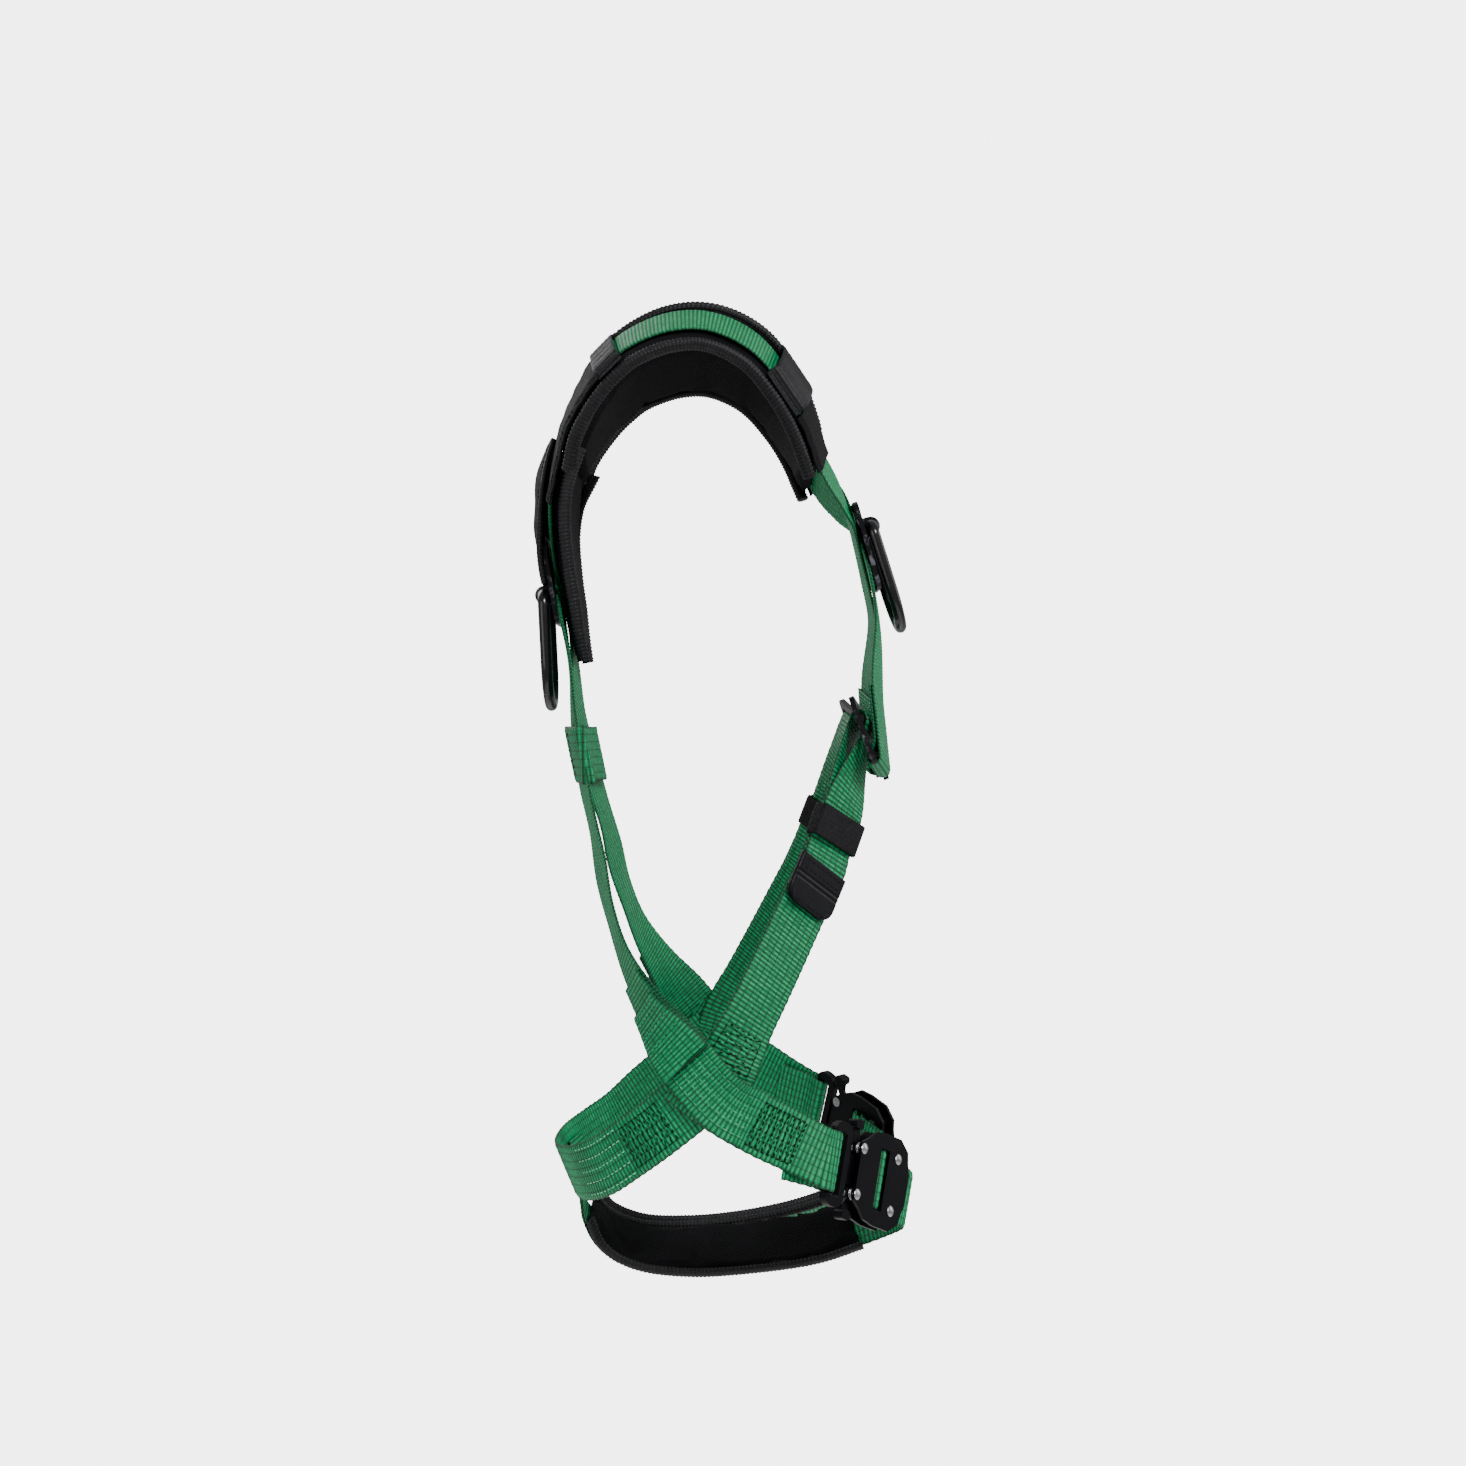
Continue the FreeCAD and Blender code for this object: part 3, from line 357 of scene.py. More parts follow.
SHOULDER_BACK = [(12, 121.3, 366, 0, 1, -0.17), (0, 124.9, 387, 0, 1, -0.12),
                 (-20, 128.5, 410, -0.03, 1, -0.05), (-46, 128.5, 450, -0.1, 1, 0.12)]
SHOULDER_TOP = [(-62, 120.5, 481, -0.18, 0.95, 0.25), (-72, 112.5, 504, -0.22, 0.86, 0.45),
                (-84, 95, 534, -0.34, 0.68, 0.64), (-88.6, 82.3, 548.1, -0.38, 0.55, 0.73),
                (-92, 68, 560, -0.42, 0.42, 0.8), (-96, 36, 573, -0.463, 0.16, 0.87),
                (-96, 4, 574, -0.463, -0.1, 0.88), (-92, -30, 559, -0.44, -0.4, 0.8),
                (-82, -56, 530, -0.38, -0.66, 0.65), (-70, -74, 498, -0.32, -0.8, 0.5),
                (-60, -84, 470, -0.28, -0.86, 0.4)]
SHOULDER_FRONT = [(-42, -95, 454, -0.15, -0.93, 0.32), (-19, -105.5, 437, -0.02, -0.962, 0.275),
                  (0, -114.6, 407, 0, -0.962, 0.275), (17, -122.6, 378, 0.05, -0.97, 0.22),
                  (30, -129.5, 345, 0.1, -0.98, 0.1)]


def double_web():
    """Doubled end of the upper web round the adjuster's fixed bar."""
    wrap = FIXED_RADIUS + BAR_GAP + THICK / 2
    lean = math.radians(14)
    up, out = math.cos(lean), math.sin(lean)

    def beside(distance, layer, facing):
        return along_adjuster(FIXED_BAR + up * distance - out * layer, out * distance + up * layer, facing)

    down = [beside(distance, wrap, (-out, up)) for distance in (58, 30, 12)]
    back = [beside(distance, layer, (out, -up)) for distance, layer in
            ((9, -0.5), (14, 1.9), (24, wrap - LAYER), (58, wrap - LAYER))]
    return down + arc(along_adjuster, FIXED_BAR, 0, wrap, 104, 314) + back


def shoulder_web(left):
    """From the crossing at the back over the shoulder to the other side's adjuster."""
    offset = LAYER if left else 0.0
    stations = lifted(SHOULDER_BACK, offset) + SHOULDER_TOP
    stations += SHOULDER_FRONT[:1] + lifted(SHOULDER_FRONT[1:4], offset) + SHOULDER_FRONT[4:]
    return stations + turned(double_web())


BACK_WEB = [(-42, 111, 268, -0.15, 0.97, -0.1), (-65, 103, 228, -0.2, 0.97, -0.1),
            (-88, 94, 192, -0.16, 0.97, -0.1), (-108, 86, 156, -0.14, 0.97, 0.1),
            (-127, 77, 121, -0.16, 0.95, -0.1), (-142, 65, 88, -0.32, 0.88, -0.32),
            (-155, 44, 53, -0.6, 0.74, -0.33), hip(23, 22, 3), hip(4, -1, 3), hip(-12, -16, 3),
            hip(-30, -26, 3)]


def back_web(left):
    """From the crossing at the back to the hip."""
    start = lifted([(-13.6, 120.6, 362, 0, 1, -0.17), (-20, 117.6, 344, 0, 1, -0.17)], 0 if left else LAYER)
    return start + [(-30, 114.5, 310, -0.08, 0.98, -0.12)] + BACK_WEB


LEG_FRONT = [hip(24, 8, 2), hip(6, -5, 2), hip(-14, -18, 2), hip(-36, -31, 2),
             (-155.5, -58, -43, -0.83, -0.53, 0.085)]
LEG_FRONT_END = ([along_buckle(-7.4, 3.9, (-0.1, 1))] + arc(along_buckle, 3.6, 0, 5.1, 90, -90)
                 + [along_buckle(-6.4, -4.6, (0.1, -1)), along_buckle(-17.4, -9.6, (0.4, -0.92)),
                    along_buckle(-30.4, -15.8, (0.28, -0.96))])
SEAT = [hip(4, -3, 1), hip(20, -15, 1), hip(42, -34, 1), (-138, 64, -52, -0.75, 0.65, -0.15),
        (-117, 85, -69, -0.56, 0.8, -0.22), (-88, 103, -79, -0.36, 0.88, -0.32),
        (-50, 115, -84, -0.16, 0.92, -0.38), (0, 119, -86, 0, 0.918, -0.397)]
HIP_TO_ADJUSTER = [hip(-4, -6, 0), hip(-11, 14, 0), (-155.5, -25, 42, -0.82, -0.56, 0.15),
                   (-142, -41, 73, -0.74, -0.64, 0.2), (-123, -58, 107, -0.68, -0.68, 0.25),
                   (-105, -74, 140, -0.62, -0.72, 0.3), (-95, -86, 171, -0.58, -0.76, 0.32),
                   (-87, -97, 199, -0.5, -0.8, 0.36)]


def lower_front():
    """From the hip up over the adjuster's slider and back down as the tail."""
    wrap = SLIDER_RADIUS + BAR_GAP + THICK / 2
    lean = math.radians(40)
    down, into = -math.cos(lean), -math.sin(lean)
    fall_centre = SLIDER_BAR - 2.7

    def beside(centre, distance, side, facing):
        a, o = math.cos(math.radians(side)), math.sin(math.radians(side))
        return along_adjuster(centre + wrap * a + down * distance, wrap * o + into * distance, facing)

    rise = [(x, y, z, -nx, -ny, -nz) for x, y, z, nx, ny, nz in HIP_TO_ADJUSTER]
    climb = [beside(SLIDER_BAR, 15, -50, (-into, down))]
    climb += arc(along_adjuster, SLIDER_BAR, 0, wrap, -50, 100)
    fall = arc(along_adjuster, fall_centre, 0, wrap, 110, 130, 20)
    fall.append(beside(fall_centre, 14, 130, (into, -down)))
    keeper = lifted([HIP_TO_ADJUSTER[-1], (-93.4, -88.1, 176, -0.57, -0.765, 0.32)], LAYER + 0.3)
    return rise + climb + fall + keeper + [TIP.station((0, y, TIP_LIFT), (0, 0, 1)) for y in (2, -13)]


LUMBAR = [(-30, 114.0, 242, 0.0, 0.97, -0.2), (-58, 109.6, 242, -0.2, 0.97, -0.2),
          (-80, 104.4, 242, -0.3, 0.95, -0.2), (-87.5, 100.6, 242, -0.97, 0.0, 0.0),
          (-82, 96.8, 242, 0.2, -0.96, 0.2), (-58, 101.6, 242, 0.18, -0.97, 0.2),
          (-28, 106.6, 242, 0.08, -0.98, 0.2), (0, 108.6, 242, 0, -0.98, 0.2)]
LEG_LOOP = [(-51, -151, -108.5, -0.05, -0.98, -0.2), (-40, -138, -117, 0.35, -0.87, -0.33),
            (-33, -114, -128, 0.6, -0.55, -0.58), (-31, -78, -141, 0.62, -0.15, -0.76),
            (-31, -30, -150, 0.55, 0, -0.83), (-32, 20, -154, 0.5, 0.05, -0.86),
            (-35, 62, -150, 0.4, 0.3, -0.86), (-39, 88, -137, 0.25, 0.7, -0.66),
            (-43, 102, -117, 0.05, 0.92, -0.4), (-46, 107.5, -95.5, -0.12, 0.93, -0.38),
            (-47, 115.9, -74.5, -0.15, 0.92, -0.38)]


def leg_web():
    """From a sewn fold over the housing's web bar, under the thigh and up to the seat strap."""
    wrap = BUCKLE_BAR_RADIUS + 0.2 + THICK / 2
    near, far = BUCKLE_BAR - wrap, BUCKLE_BAR + wrap
    under, over = -12.5, -9.7
    fold = [along_buckle(112, under, (0, -1)), along_buckle(92, under, (0, -1)),
            along_buckle(68, under, (0, -1)), along_buckle(60.5, under + 1.2, (-0.5, -0.85)),
            along_buckle(near, under + 5, (-1, -0.2)), along_buckle(near, -2, (-1, 0))]
    back = [along_buckle(far, -3, (1, 0)), along_buckle(far + 0.8, -7.2, (0.9, 0.3)),
            along_buckle(far + 4, -9.5, (0.3, 1)), along_buckle(74, over, (0, 1)),
            along_buckle(98, over, (0, 1))]
    return fold + arc(along_buckle, BUCKLE_BAR, 2.0, wrap, 180, 0) + back + LEG_LOOP


# ---------------------------------------------------------------- ribbons


class Route:
    """A smooth centre line with a facing, sampled evenly, in millimetres."""

    def __init__(self, stations, step=0.75, values=None):
        rows = [tuple(s) + (v,) for s, v in zip(stations, values or [1.0] * len(stations))]
        fine = self.smoothed([np.asarray(row, float) for row in rows])
        length = np.concatenate([[0], np.cumsum(np.linalg.norm(np.diff(fine[:, :3], axis=0), axis=1))])
        count = max(2, round(length[-1] / step) + 1)
        self.s = np.linspace(0, length[-1], count)
        even = np.stack([np.interp(self.s, length, fine[:, i]) for i in range(7)], 1)
        self.p = even[:, :3]
        self.value = even[:, 6]
        tangent = np.gradient(self.p, axis=0)
        self.t = tangent / np.linalg.norm(tangent, axis=1, keepdims=True)
        facing = even[:, 3:6]
        facing = facing - self.t * np.sum(facing * self.t, 1, keepdims=True)
        self.n = facing / np.linalg.norm(facing, axis=1, keepdims=True)
        self.a = np.cross(self.t, self.n)

    @staticmethod
    def smoothed(rows):
        """Filled in along a centripetal Catmull-Rom curve."""
        padded = [2 * rows[0] - rows[1]] + rows + [2 * rows[-1] - rows[-2]]
        knots = [0.0]
        for before, after in zip(padded, padded[1:]):
            knots.append(knots[-1] + np.linalg.norm(after[:3] - before[:3]) ** 0.5)
        result = []
        for i in range(1, len(padded) - 2):
            pa, pb, pc, pd = padded[i - 1:i + 3]
            ta, tb, tc, td = knots[i - 1:i + 3]
            span = tc - tb
            slope_b = (pb - pa) / (tb - ta) - (pc - pa) / (tc - ta) + (pc - pb) / span
            slope_c = (pc - pb) / span - (pd - pb) / (td - tb) + (pd - pc) / (td - tc)
            steps = max(2, round(np.linalg.norm(pc[:3] - pb[:3])))
            u = np.linspace(0, 1, steps, endpoint=False)[:, None]
            result.append((2 * u ** 3 - 3 * u ** 2 + 1) * pb + (u ** 3 - 2 * u ** 2 + u) * span * slope_b
                          + (3 * u ** 2 - 2 * u ** 3) * pc + (u ** 3 - u ** 2) * span * slope_c)
        return np.concatenate(result + [rows[-1][None]])

    def at(self, s, u, lift):
        """Points at places along and across the route, and a height over its middle."""
        p, a, n = [np.stack([np.interp(s, self.s, way[:, i]) for i in range(3)], 1)
                   for way in (self.p, self.a, self.n)]
        return p + a * np.reshape(u, (-1, 1)) + n * np.reshape(lift, (-1, 1))

    def grid(self, across, lift):
        """Points at every sample, for places across it and heights over it."""
        return self.p[:, None] + self.a[:, None] * across[..., None] + self.n[:, None] * lift[..., None]

    def nearest(self, axis, value):
        """Length along the route where it passes closest to a value of x, y or z."""
        return float(self.s[np.argmin(np.abs(self.p[:, "xyz".index(axis)] - value))])

    def above(self, z):
        """Drops the start of the route, up to where it first passes a height."""
        first = int(np.argmax(self.p[:, 2] > z))
        self.s, self.p, self.t = self.s[first:], self.p[first:], self.t[first:]
        self.n, self.a, self.value = self.n[first:], self.a[first:], self.value[first:]
        return self


def linked(thing):
    """Adds an object to the scene."""
    bpy.context.scene.collection.objects.link(thing)
    return thing


def mesh_object(name, points, faces, material, uvs=None, smooth=True, mirror=1):
    """A mesh from points in millimetres and lists of corners; mirror -1 puts it on the left side."""
    points = np.array(points, float) * MM
    if mirror < 0:
        points[:, 0] *= -1
        faces = [face[::-1] for face in faces]
    mesh = bpy.data.meshes.new(name)
    mesh.from_pydata(points.tolist(), [], faces, shade_flat=not smooth)
    if uvs is not None:
        layer = mesh.uv_layers.new(name="strap")
        index = np.zeros(len(mesh.loops), int)
        mesh.loops.foreach_get("vertex_index", index)
        layer.data.foreach_set("uv", np.asarray(uvs, float)[index].ravel())
    mesh.materials.append(material)
    mesh.validate()
    return linked(bpy.data.objects.new(name, mesh))


def register(thing, slot, *nodes, body="harness", fill=None):
    """Hangs a piece on the empty of the body it rides on and hides the CAD nodes it stands for; slot and
    fill are not used.
    """
    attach(thing, body)
    if nodes:
        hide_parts(*nodes)


def tube_faces(rows, count, first=0):
    """Quads round a tube of rows of count points each, and a cap at both ends."""
    i, j = np.meshgrid(np.arange(rows - 1), np.arange(count), indexing="ij")
    beside = (j + 1) % count
    quads = np.stack([i * count + j, i * count + beside, (i + 1) * count + beside, (i + 1) * count + j], -1)
    start = list(range(first, first + count))[::-1]
    end = list(range(first + (rows - 1) * count, first + rows * count))
    return (quads.reshape(-1, 4) + first).tolist() + [start, end]


CURL_REACH, CURL_HEIGHT = 24.0, 8.0


def curl_height(place, s, u):
    """How far the upper edge of a web leans out of its plane near a place along it."""
    if place is None:
        return 0.0
    across = np.clip((-u / (WEB / 2) - 0.15) / 0.85, 0, 1) ** 1.7
    return CURL_HEIGHT * np.exp(-((s - place) / CURL_REACH) ** 2) * across


def ribbon(node, route, material, slot="webbing", body="harness", width=WEB, thick=THICK, mirror=1, rib=3.0,
           relief=0.22, columns=COLUMNS, curl=None, own=False):
    """Webbing as closed mesh: ribs and columns stand out of both faces, and the edges are rolled.

    It stands for a CAD node, or is a piece of its own.
    """
    across = np.linspace(-1, 1, 2 * columns + 1)
    ridge = np.where(np.arange(2 * columns + 1) % 2 == 1, 1.0, -1.0)
    ridge[0] = ridge[-1] = 0
    half = np.interp(np.abs(across), [0, 0.93, 1.0], [1.0, 0.92, 0.45])
    along = route.s[:, None]
    bulge = relief * (0.55 * np.cos(2 * np.pi * along / rib) + 0.45 * ridge)
    shape = thick / 2 * half + bulge * np.where(half > 0.6, 1.0, 0.3)
    wide = (width / 2 + 0.25 * np.sin(2 * np.pi * along / (2.1 * rib))) * across
    lean = curl_height(curl, along, across * width / 2)
    ring = np.concatenate([route.grid(wide, lean + shape), route.grid(wide, lean - shape)[:, ::-1]], 1)
    rows, count = ring.shape[:2]
    u = np.concatenate([(across + 1) / 2, (across[::-1] + 1) / 2]) * WEB * MM
    uvs = np.stack([np.tile(u, rows), np.repeat(route.s * MM, count)], 1)
    thing = mesh_object(node if own else node + "_weave", ring.reshape(-1, 3), tube_faces(rows, count),
                        material, uvs, mirror=mirror)
    register(thing, slot, *([] if own else [node]), body=body)


DASH = 3.2
DASH_TAPER = (0.35, 1.0, 1.0, 0.35)
DASH_SIDES = 6


def stitches(name, route, lines, material, slot="webbing", lift=THICK / 2 + 0.1, mirror=1, gap=1.5,
             radius=0.45, side=1, curl=None):
    """Rows of thread dashes along lines of (length along, place across) on a route's outer face."""
    points, faces = [], []
    ring = np.linspace(0, 2 * math.pi, DASH_SIDES, endpoint=False)
    for line in lines:
        line = np.asarray(line, float)
        length = np.concatenate([[0], np.cumsum(np.linalg.norm(np.diff(line, axis=0), axis=1))])
        count = max(1, int(length[-1] / (DASH + gap)))
        for k in range(count):
            start = k * length[-1] / count
            where = np.linspace(start, start + DASH, len(DASH_TAPER))
            s, u = [np.interp(where, length, line[:, i]) for i in range(2)]
            middle = route.at(s, u, side * lift + curl_height(curl, s, u))
            up = side * route.n[np.argmin(np.abs(route.s - s[1]))]
            beside = unit(np.cross(up, middle[-1] - middle[0]))
            faces += tube_faces(len(DASH_TAPER), DASH_SIDES, len(points))
            for point, size in zip(middle, DASH_TAPER):
                for angle in ring:
                    way = beside * math.cos(angle) + up * math.sin(angle) * 0.7
                    points.append(point + way * radius * size)
    register(mesh_object(name, points, faces, material, mirror=mirror), slot)


def rows_of(start, end, places):
    """Straight stitch rows along a strap."""
    return [[(start, u), (end, u)] for u in places]


def zigzag(start, end, half, turns):
    """A box of stitches with a dense zigzag in it."""
    places = np.linspace(start, end, 2 * turns + 1)
    inside = [[(a, half if i % 2 else -half), (b, -half if i % 2 else half)]
              for i, (a, b) in enumerate(zip(places, places[1:]))]
    back = [[(a, -u) for a, u in line] for line in inside]
    ends = [[(place, -half), (place, half)] for place in (start, end)]
    return inside + back + rows_of(start, end, (-half, half)) + ends


def box_cross(start, end, half):
    """A box of stitches with a cross in it."""
    corners = [(start, -half), (end, -half), (end, half), (start, half)]
    outline = [[corners[i], corners[(i + 1) % 4]] for i in range(4)]
    return outline + [[corners[0], corners[2]], [corners[1], corners[3]]]


def binding(name, route, offset, half_thick, reach, mirror, slot="yoke_padding"):
    """Ribbed tape folded over one edge of a pad."""
    sides, rib, tape_width = 14, 3.0, 0.02
    ring = np.linspace(0, 2 * math.pi, sides, endpoint=False)
    out = np.cos(ring) * reach
    high = np.sign(np.sin(ring)) * np.abs(np.sin(ring)) ** 0.7 * half_thick
    grow = 1 + 0.08 * np.cos(2 * np.pi * route.s / rib)[:, None]
    points = route.grid(offset[:, None] + out * grow, route.value[:, None] + high * grow).reshape(-1, 3)
    rows = len(route.s)
    uvs = np.stack([np.tile(np.linspace(0, tape_width, sides), rows), np.repeat(route.s * MM, sides)], 1)
    thing = mesh_object(name, points, tube_faces(rows, sides), BLACK_TAPE, uvs, mirror=mirror)
    register(thing, slot)


# ---------------------------------------------------------------- pads


def pad_mesh(name, rows, widths, thick, material, closed=6):
    """A crowned closed pad over a route, before it is blown up."""
    across = np.linspace(-1, 1, 19)
    crown = np.sqrt(np.clip(1 - np.abs(across) ** closed, 0.02, 1))
    ends = np.clip(np.minimum(rows.s, rows.s[-1] - rows.s) / 6, 0.35, 1.0)
    points = []
    for i in range(len(rows.s)):
        half = thick / 2 * crown * math.sqrt(ends[i])
        sag = rows.value[i] * across ** 2
        flat = rows.p[i] + rows.a[i] * (across * widths[i] / 2)[:, None] - rows.n[i] * sag[:, None]
        points += list(flat + rows.n[i] * half[:, None]) + list((flat - rows.n[i] * half[:, None])[::-1])
    return mesh_object(name, points, tube_faces(len(rows.s), 2 * len(across)), material)


def points_of(mesh):
    """A mesh's points as rows, in metres."""
    flat = np.zeros(len(mesh.vertices) * 3)
    mesh.vertices.foreach_get("co", flat)
    return flat.reshape(-1, 3)


def put_points(mesh, points):
    """Moves a mesh's points to new places, in metres."""
    mesh.vertices.foreach_set("co", points.ravel())
    mesh.update()


def apply_modifiers(thing):
    """The evaluated mesh, with its material kept and no modifier left."""
    graph = bpy.context.evaluated_depsgraph_get()
    graph.update()
    mesh = bpy.data.meshes.new_from_object(thing.evaluated_get(graph))
    thing.modifiers.clear()
    thing.data = mesh
    mesh.polygons.foreach_set("use_smooth", [True] * len(mesh.polygons))


def blown(thing, voxel, cap):
    """Swells a closed pad by cloth simulation, with a cap on how far a point may move."""
    frames = 20
    remesh = thing.modifiers.new("remesh", "REMESH")
    remesh.mode = "VOXEL"
    remesh.voxel_size = voxel * MM
    apply_modifiers(thing)
    before = points_of(thing.data)
    soft = thing.modifiers.new("soft", "CLOTH")
    soft.settings.use_pressure = True
    soft.settings.uniform_pressure_force = 3.0
    soft.settings.effector_weights.gravity = 0
    soft.settings.quality = 5
    soft.settings.bending_stiffness = 0.6
    for step in range(1, frames + 1):
        bpy.context.scene.frame_set(step)
    apply_modifiers(thing)
    bpy.context.scene.frame_set(1)
    move = points_of(thing.data) - before
    size = np.linalg.norm(move, axis=1, keepdims=True)
    put_points(thing.data, before + move * np.minimum(1.0, cap * MM / np.maximum(size, 1e-9)))


def lip_height(rise, u):
    """The neck edge of a shoulder pad turns up towards the neck."""
    return rise * np.clip((-u - 23) / 15, 0, 1) ** 1.2


def neck_rise(s):
    """How far the neck edge turns up along the pad, from back to front."""
    return np.interp(s / s[-1], [0, 0.3, 0.55, 0.8, 1], [0, 4, 8, 10, 3])


def settle(thing, rows, widths, thick, pressed, proud, quilt=0.0, pitch=26.0, lip=None):
    """Flattens a blown pad under the web that lies on it, and keeps it inside its place."""
    subdivide = thing.modifiers.new("fine", "SUBSURF")
    subdivide.levels = 1
    apply_modifiers(thing)
    points = points_of(thing.data) / MM
    every = slice(None, None, 3)
    p, a, n, t = rows.p[every], rows.a[every], rows.n[every], rows.t[every]
    s, w, bow = rows.s[every], np.asarray(widths)[every], rows.value[every]
    near = np.array([np.argmin(np.sum((p - point) ** 2, 1)) for point in points])
    off = points - p[near]
    u, h, along = [np.sum(off * way[near], 1) for way in (a, n, t)]
    level = -bow[near] * (2 * u / w[near]) ** 2
    if lip is not None:
        level = level + lip_height(lip[every][near], u)
    side = np.clip((np.abs(u) - pressed) / 9, 0, 1)
    ripple = quilt * np.cos(2 * np.pi * (s[near] + along) / pitch) * side
    top = thick / 2 - 0.15 + proud * side + ripple
    low = thick / 2 + 0.8
    h = np.where(h > 0, h + 0.7 * ripple, h)
    h = np.clip(h - level, -low, top) + level
    points = p[near] + a[near] * u[:, None] + n[near] * h[:, None] + t[near] * along[:, None]
    put_points(thing.data, points * MM)


def mirrored_copy(thing, name):
    """The left-hand copy of a right-hand piece."""
    mesh = thing.data.copy()
    put_points(mesh, points_of(mesh) * (-1, 1, 1))
    mesh.flip_normals()
    return linked(bpy.data.objects.new(name, mesh))


# ---------------------------------------------------------------- webbing
SEAM_PLACES = (-15, -7.5, 0, 7.5, 15)
SEAM = 17  # half the width of a sewn box

for side, sign in SIDES:
    left = sign < 0
    upper = Route(shoulder_web(left))
    ribbon("shoulder_web_" + side, upper, GREEN, mirror=sign)
    back = Route(back_web(left))
    curl = back.nearest("y", -6)
    ribbon("back_web_" + side, back, GREEN, mirror=sign, curl=curl)
    leg_front = Route(LEG_FRONT + LEG_FRONT_END)
    ribbon("leg_front_web_" + side, leg_front, GREEN_HEAVY, mirror=sign, rib=HEAVY_RIB, relief=0.3)
    front = Route(lower_front())
    ribbon("lower_front_web_" + side, front, GREEN_FINE, mirror=sign, rib=FINE_RIB, relief=0.16)
    leg = Route(leg_web())
    ribbon("leg_web_" + side, leg, GREEN_HEAVY, mirror=sign, rib=HEAVY_RIB, relief=0.26)

    stitches("back_web_rows_" + side, back, rows_of(back.nearest("z", 40), back.s[-1] - 3, SEAM_PLACES),
             THREAD_MID, mirror=sign, curl=curl)
    joined = leg_front.nearest("z", -20)
    stitches("leg_front_zigzag_" + side, leg_front, zigzag(joined - 6, joined + 54, SEAM, 6), THREAD_DARK,
             mirror=sign, radius=0.55, gap=0.9)
    joined = front.nearest("z", 24)
    stitches("front_web_zigzag_" + side, front, zigzag(joined - 14, joined + 16, 16, 2), THREAD_DARK,
             mirror=sign, side=-1, radius=0.5)
    end = leg.s[-1]
    stitches("leg_web_cross_" + side, leg, box_cross(end - 34, end - 4, SEAM), THREAD_LIGHT, mirror=sign)
    joined = leg.nearest("z", -105)
    stitches("leg_web_fold_rows_" + side, leg, rows_of(joined - 46, joined - 12, SEAM_PLACES), THREAD_LIGHT,
             mirror=sign)
    end = upper.s[-1]
    stitches("upper_web_end_" + side, upper, box_cross(end - 26, end - 4, SEAM), THREAD_LIGHT, mirror=sign)

seat = Route(SEAT + turned(SEAT[-2::-1]))
ribbon("seat_strap", seat, GREEN_HEAVY, rib=3.4, relief=0.26)
for side, sign in SIDES:
    stitches("seat_rows_" + side, seat, rows_of(86, 146, (-18, -9, 0, 9, 18)), THREAD_LIGHT, mirror=sign)
    stitches("seat_zigzag_" + side, seat, zigzag(40, 82, 16, 4), THREAD_DARK, mirror=sign, radius=0.5)
lumbar = Route(LUMBAR + turned(LUMBAR[-2::-1]))
ribbon("lumbar_strap", lumbar, GREEN_FINE, thick=2.4, rib=FINE_RIB, relief=0.15)
for side, sign in SIDES:
    stitches("lumbar_rows_" + side, lumbar, box_cross(3, 22, SEAM), THREAD_DARK, mirror=sign, lift=1.3)

# ---------------------------------------------------------------- yoke
BOW = 0.0016  # how much the back pad bows, times the square of half its width
INSET = 3.2  # from a pad's edge to the middle of its binding
BACK_PAD = [(316, 105.5, 62), (335, 109.3, 76), (360, 113.4, 92), (385, 118.1, 104), (420, 123.1, 124),
            (450, 124.1, 160), (480, 118.6, 202)]
pad_z = [z for z, y, width in BACK_PAD]
widths = [width for z, y, width in BACK_PAD]
back_stations = [(0, y, z, 0, 1, 0) for z, y, width in BACK_PAD]
back_rows = Route(back_stations, step=3.0, values=[BOW * (width / 2) ** 2 for width in widths])
back_widths = np.interp(back_rows.p[:, 2], pad_z, widths)
back_pad = pad_mesh("back_pad_shell", back_rows, back_widths - 3, 7.0, PADDING)
blown(back_pad, 4.5, 4.0)
settle(back_pad, back_rows, back_widths, PAD_THICK, 12, proud=0.8)
register(back_pad, "yoke_padding", "back_pad", fill=0.6)

pad_stations = lifted(SHOULDER_BACK[-1:] + SHOULDER_TOP, -PAD_DEPTH)
pad_rows = Route(pad_stations, step=3.0).above(474)
pad_rows.s = pad_rows.s - pad_rows.s[0]
end = pad_rows.s[-1]
pad_widths = np.interp(pad_rows.s, [0, end - 20, end], [PAD_WIDTH, PAD_WIDTH, PAD_WIDTH - 8])
shoulder_pad = pad_mesh("shoulder_pad_r_shell", pad_rows, pad_widths - 4, 7.0, PADDING)
blown(shoulder_pad, 4.5, 4.5)
settle(shoulder_pad, pad_rows, pad_widths, PAD_THICK, 24, proud=1.6, lip=neck_rise(pad_rows.s))
register(shoulder_pad, "yoke_padding", "shoulder_pad_r", fill=0.6)
register(mirrored_copy(shoulder_pad, "shoulder_pad_l_shell"), "yoke_padding", "shoulder_pad_l", fill=0.6)

tape_route = Route(pad_stations, step=0.7).above(476)
start, end = tape_route.s[0], tape_route.s[-1]
half_width = np.interp(tape_route.s, [start, end - 20, end],
                       [PAD_WIDTH / 2, PAD_WIDTH / 2, PAD_WIDTH / 2 - 4]) - INSET
for side, sign in SIDES:
    for edge, name in ((1, "outer"), (-1, "inner")):
        tape_route.value = lip_height(neck_rise(tape_route.s - start), edge * half_width) - 1.0
        binding("pad_binding_" + name + "_" + side, tape_route, edge * half_width, 4.9, BINDING_REACH, sign)

back_route = Route(back_stations, step=0.7)
back_half = np.interp(back_route.p[:, 2], pad_z, widths) / 2 - INSET
back_route.value = -BOW * (back_half + 3) ** 2
for side, sign in SIDES:
    binding("back_binding_" + side, back_route, -back_half, 4.9, BINDING_REACH, sign)

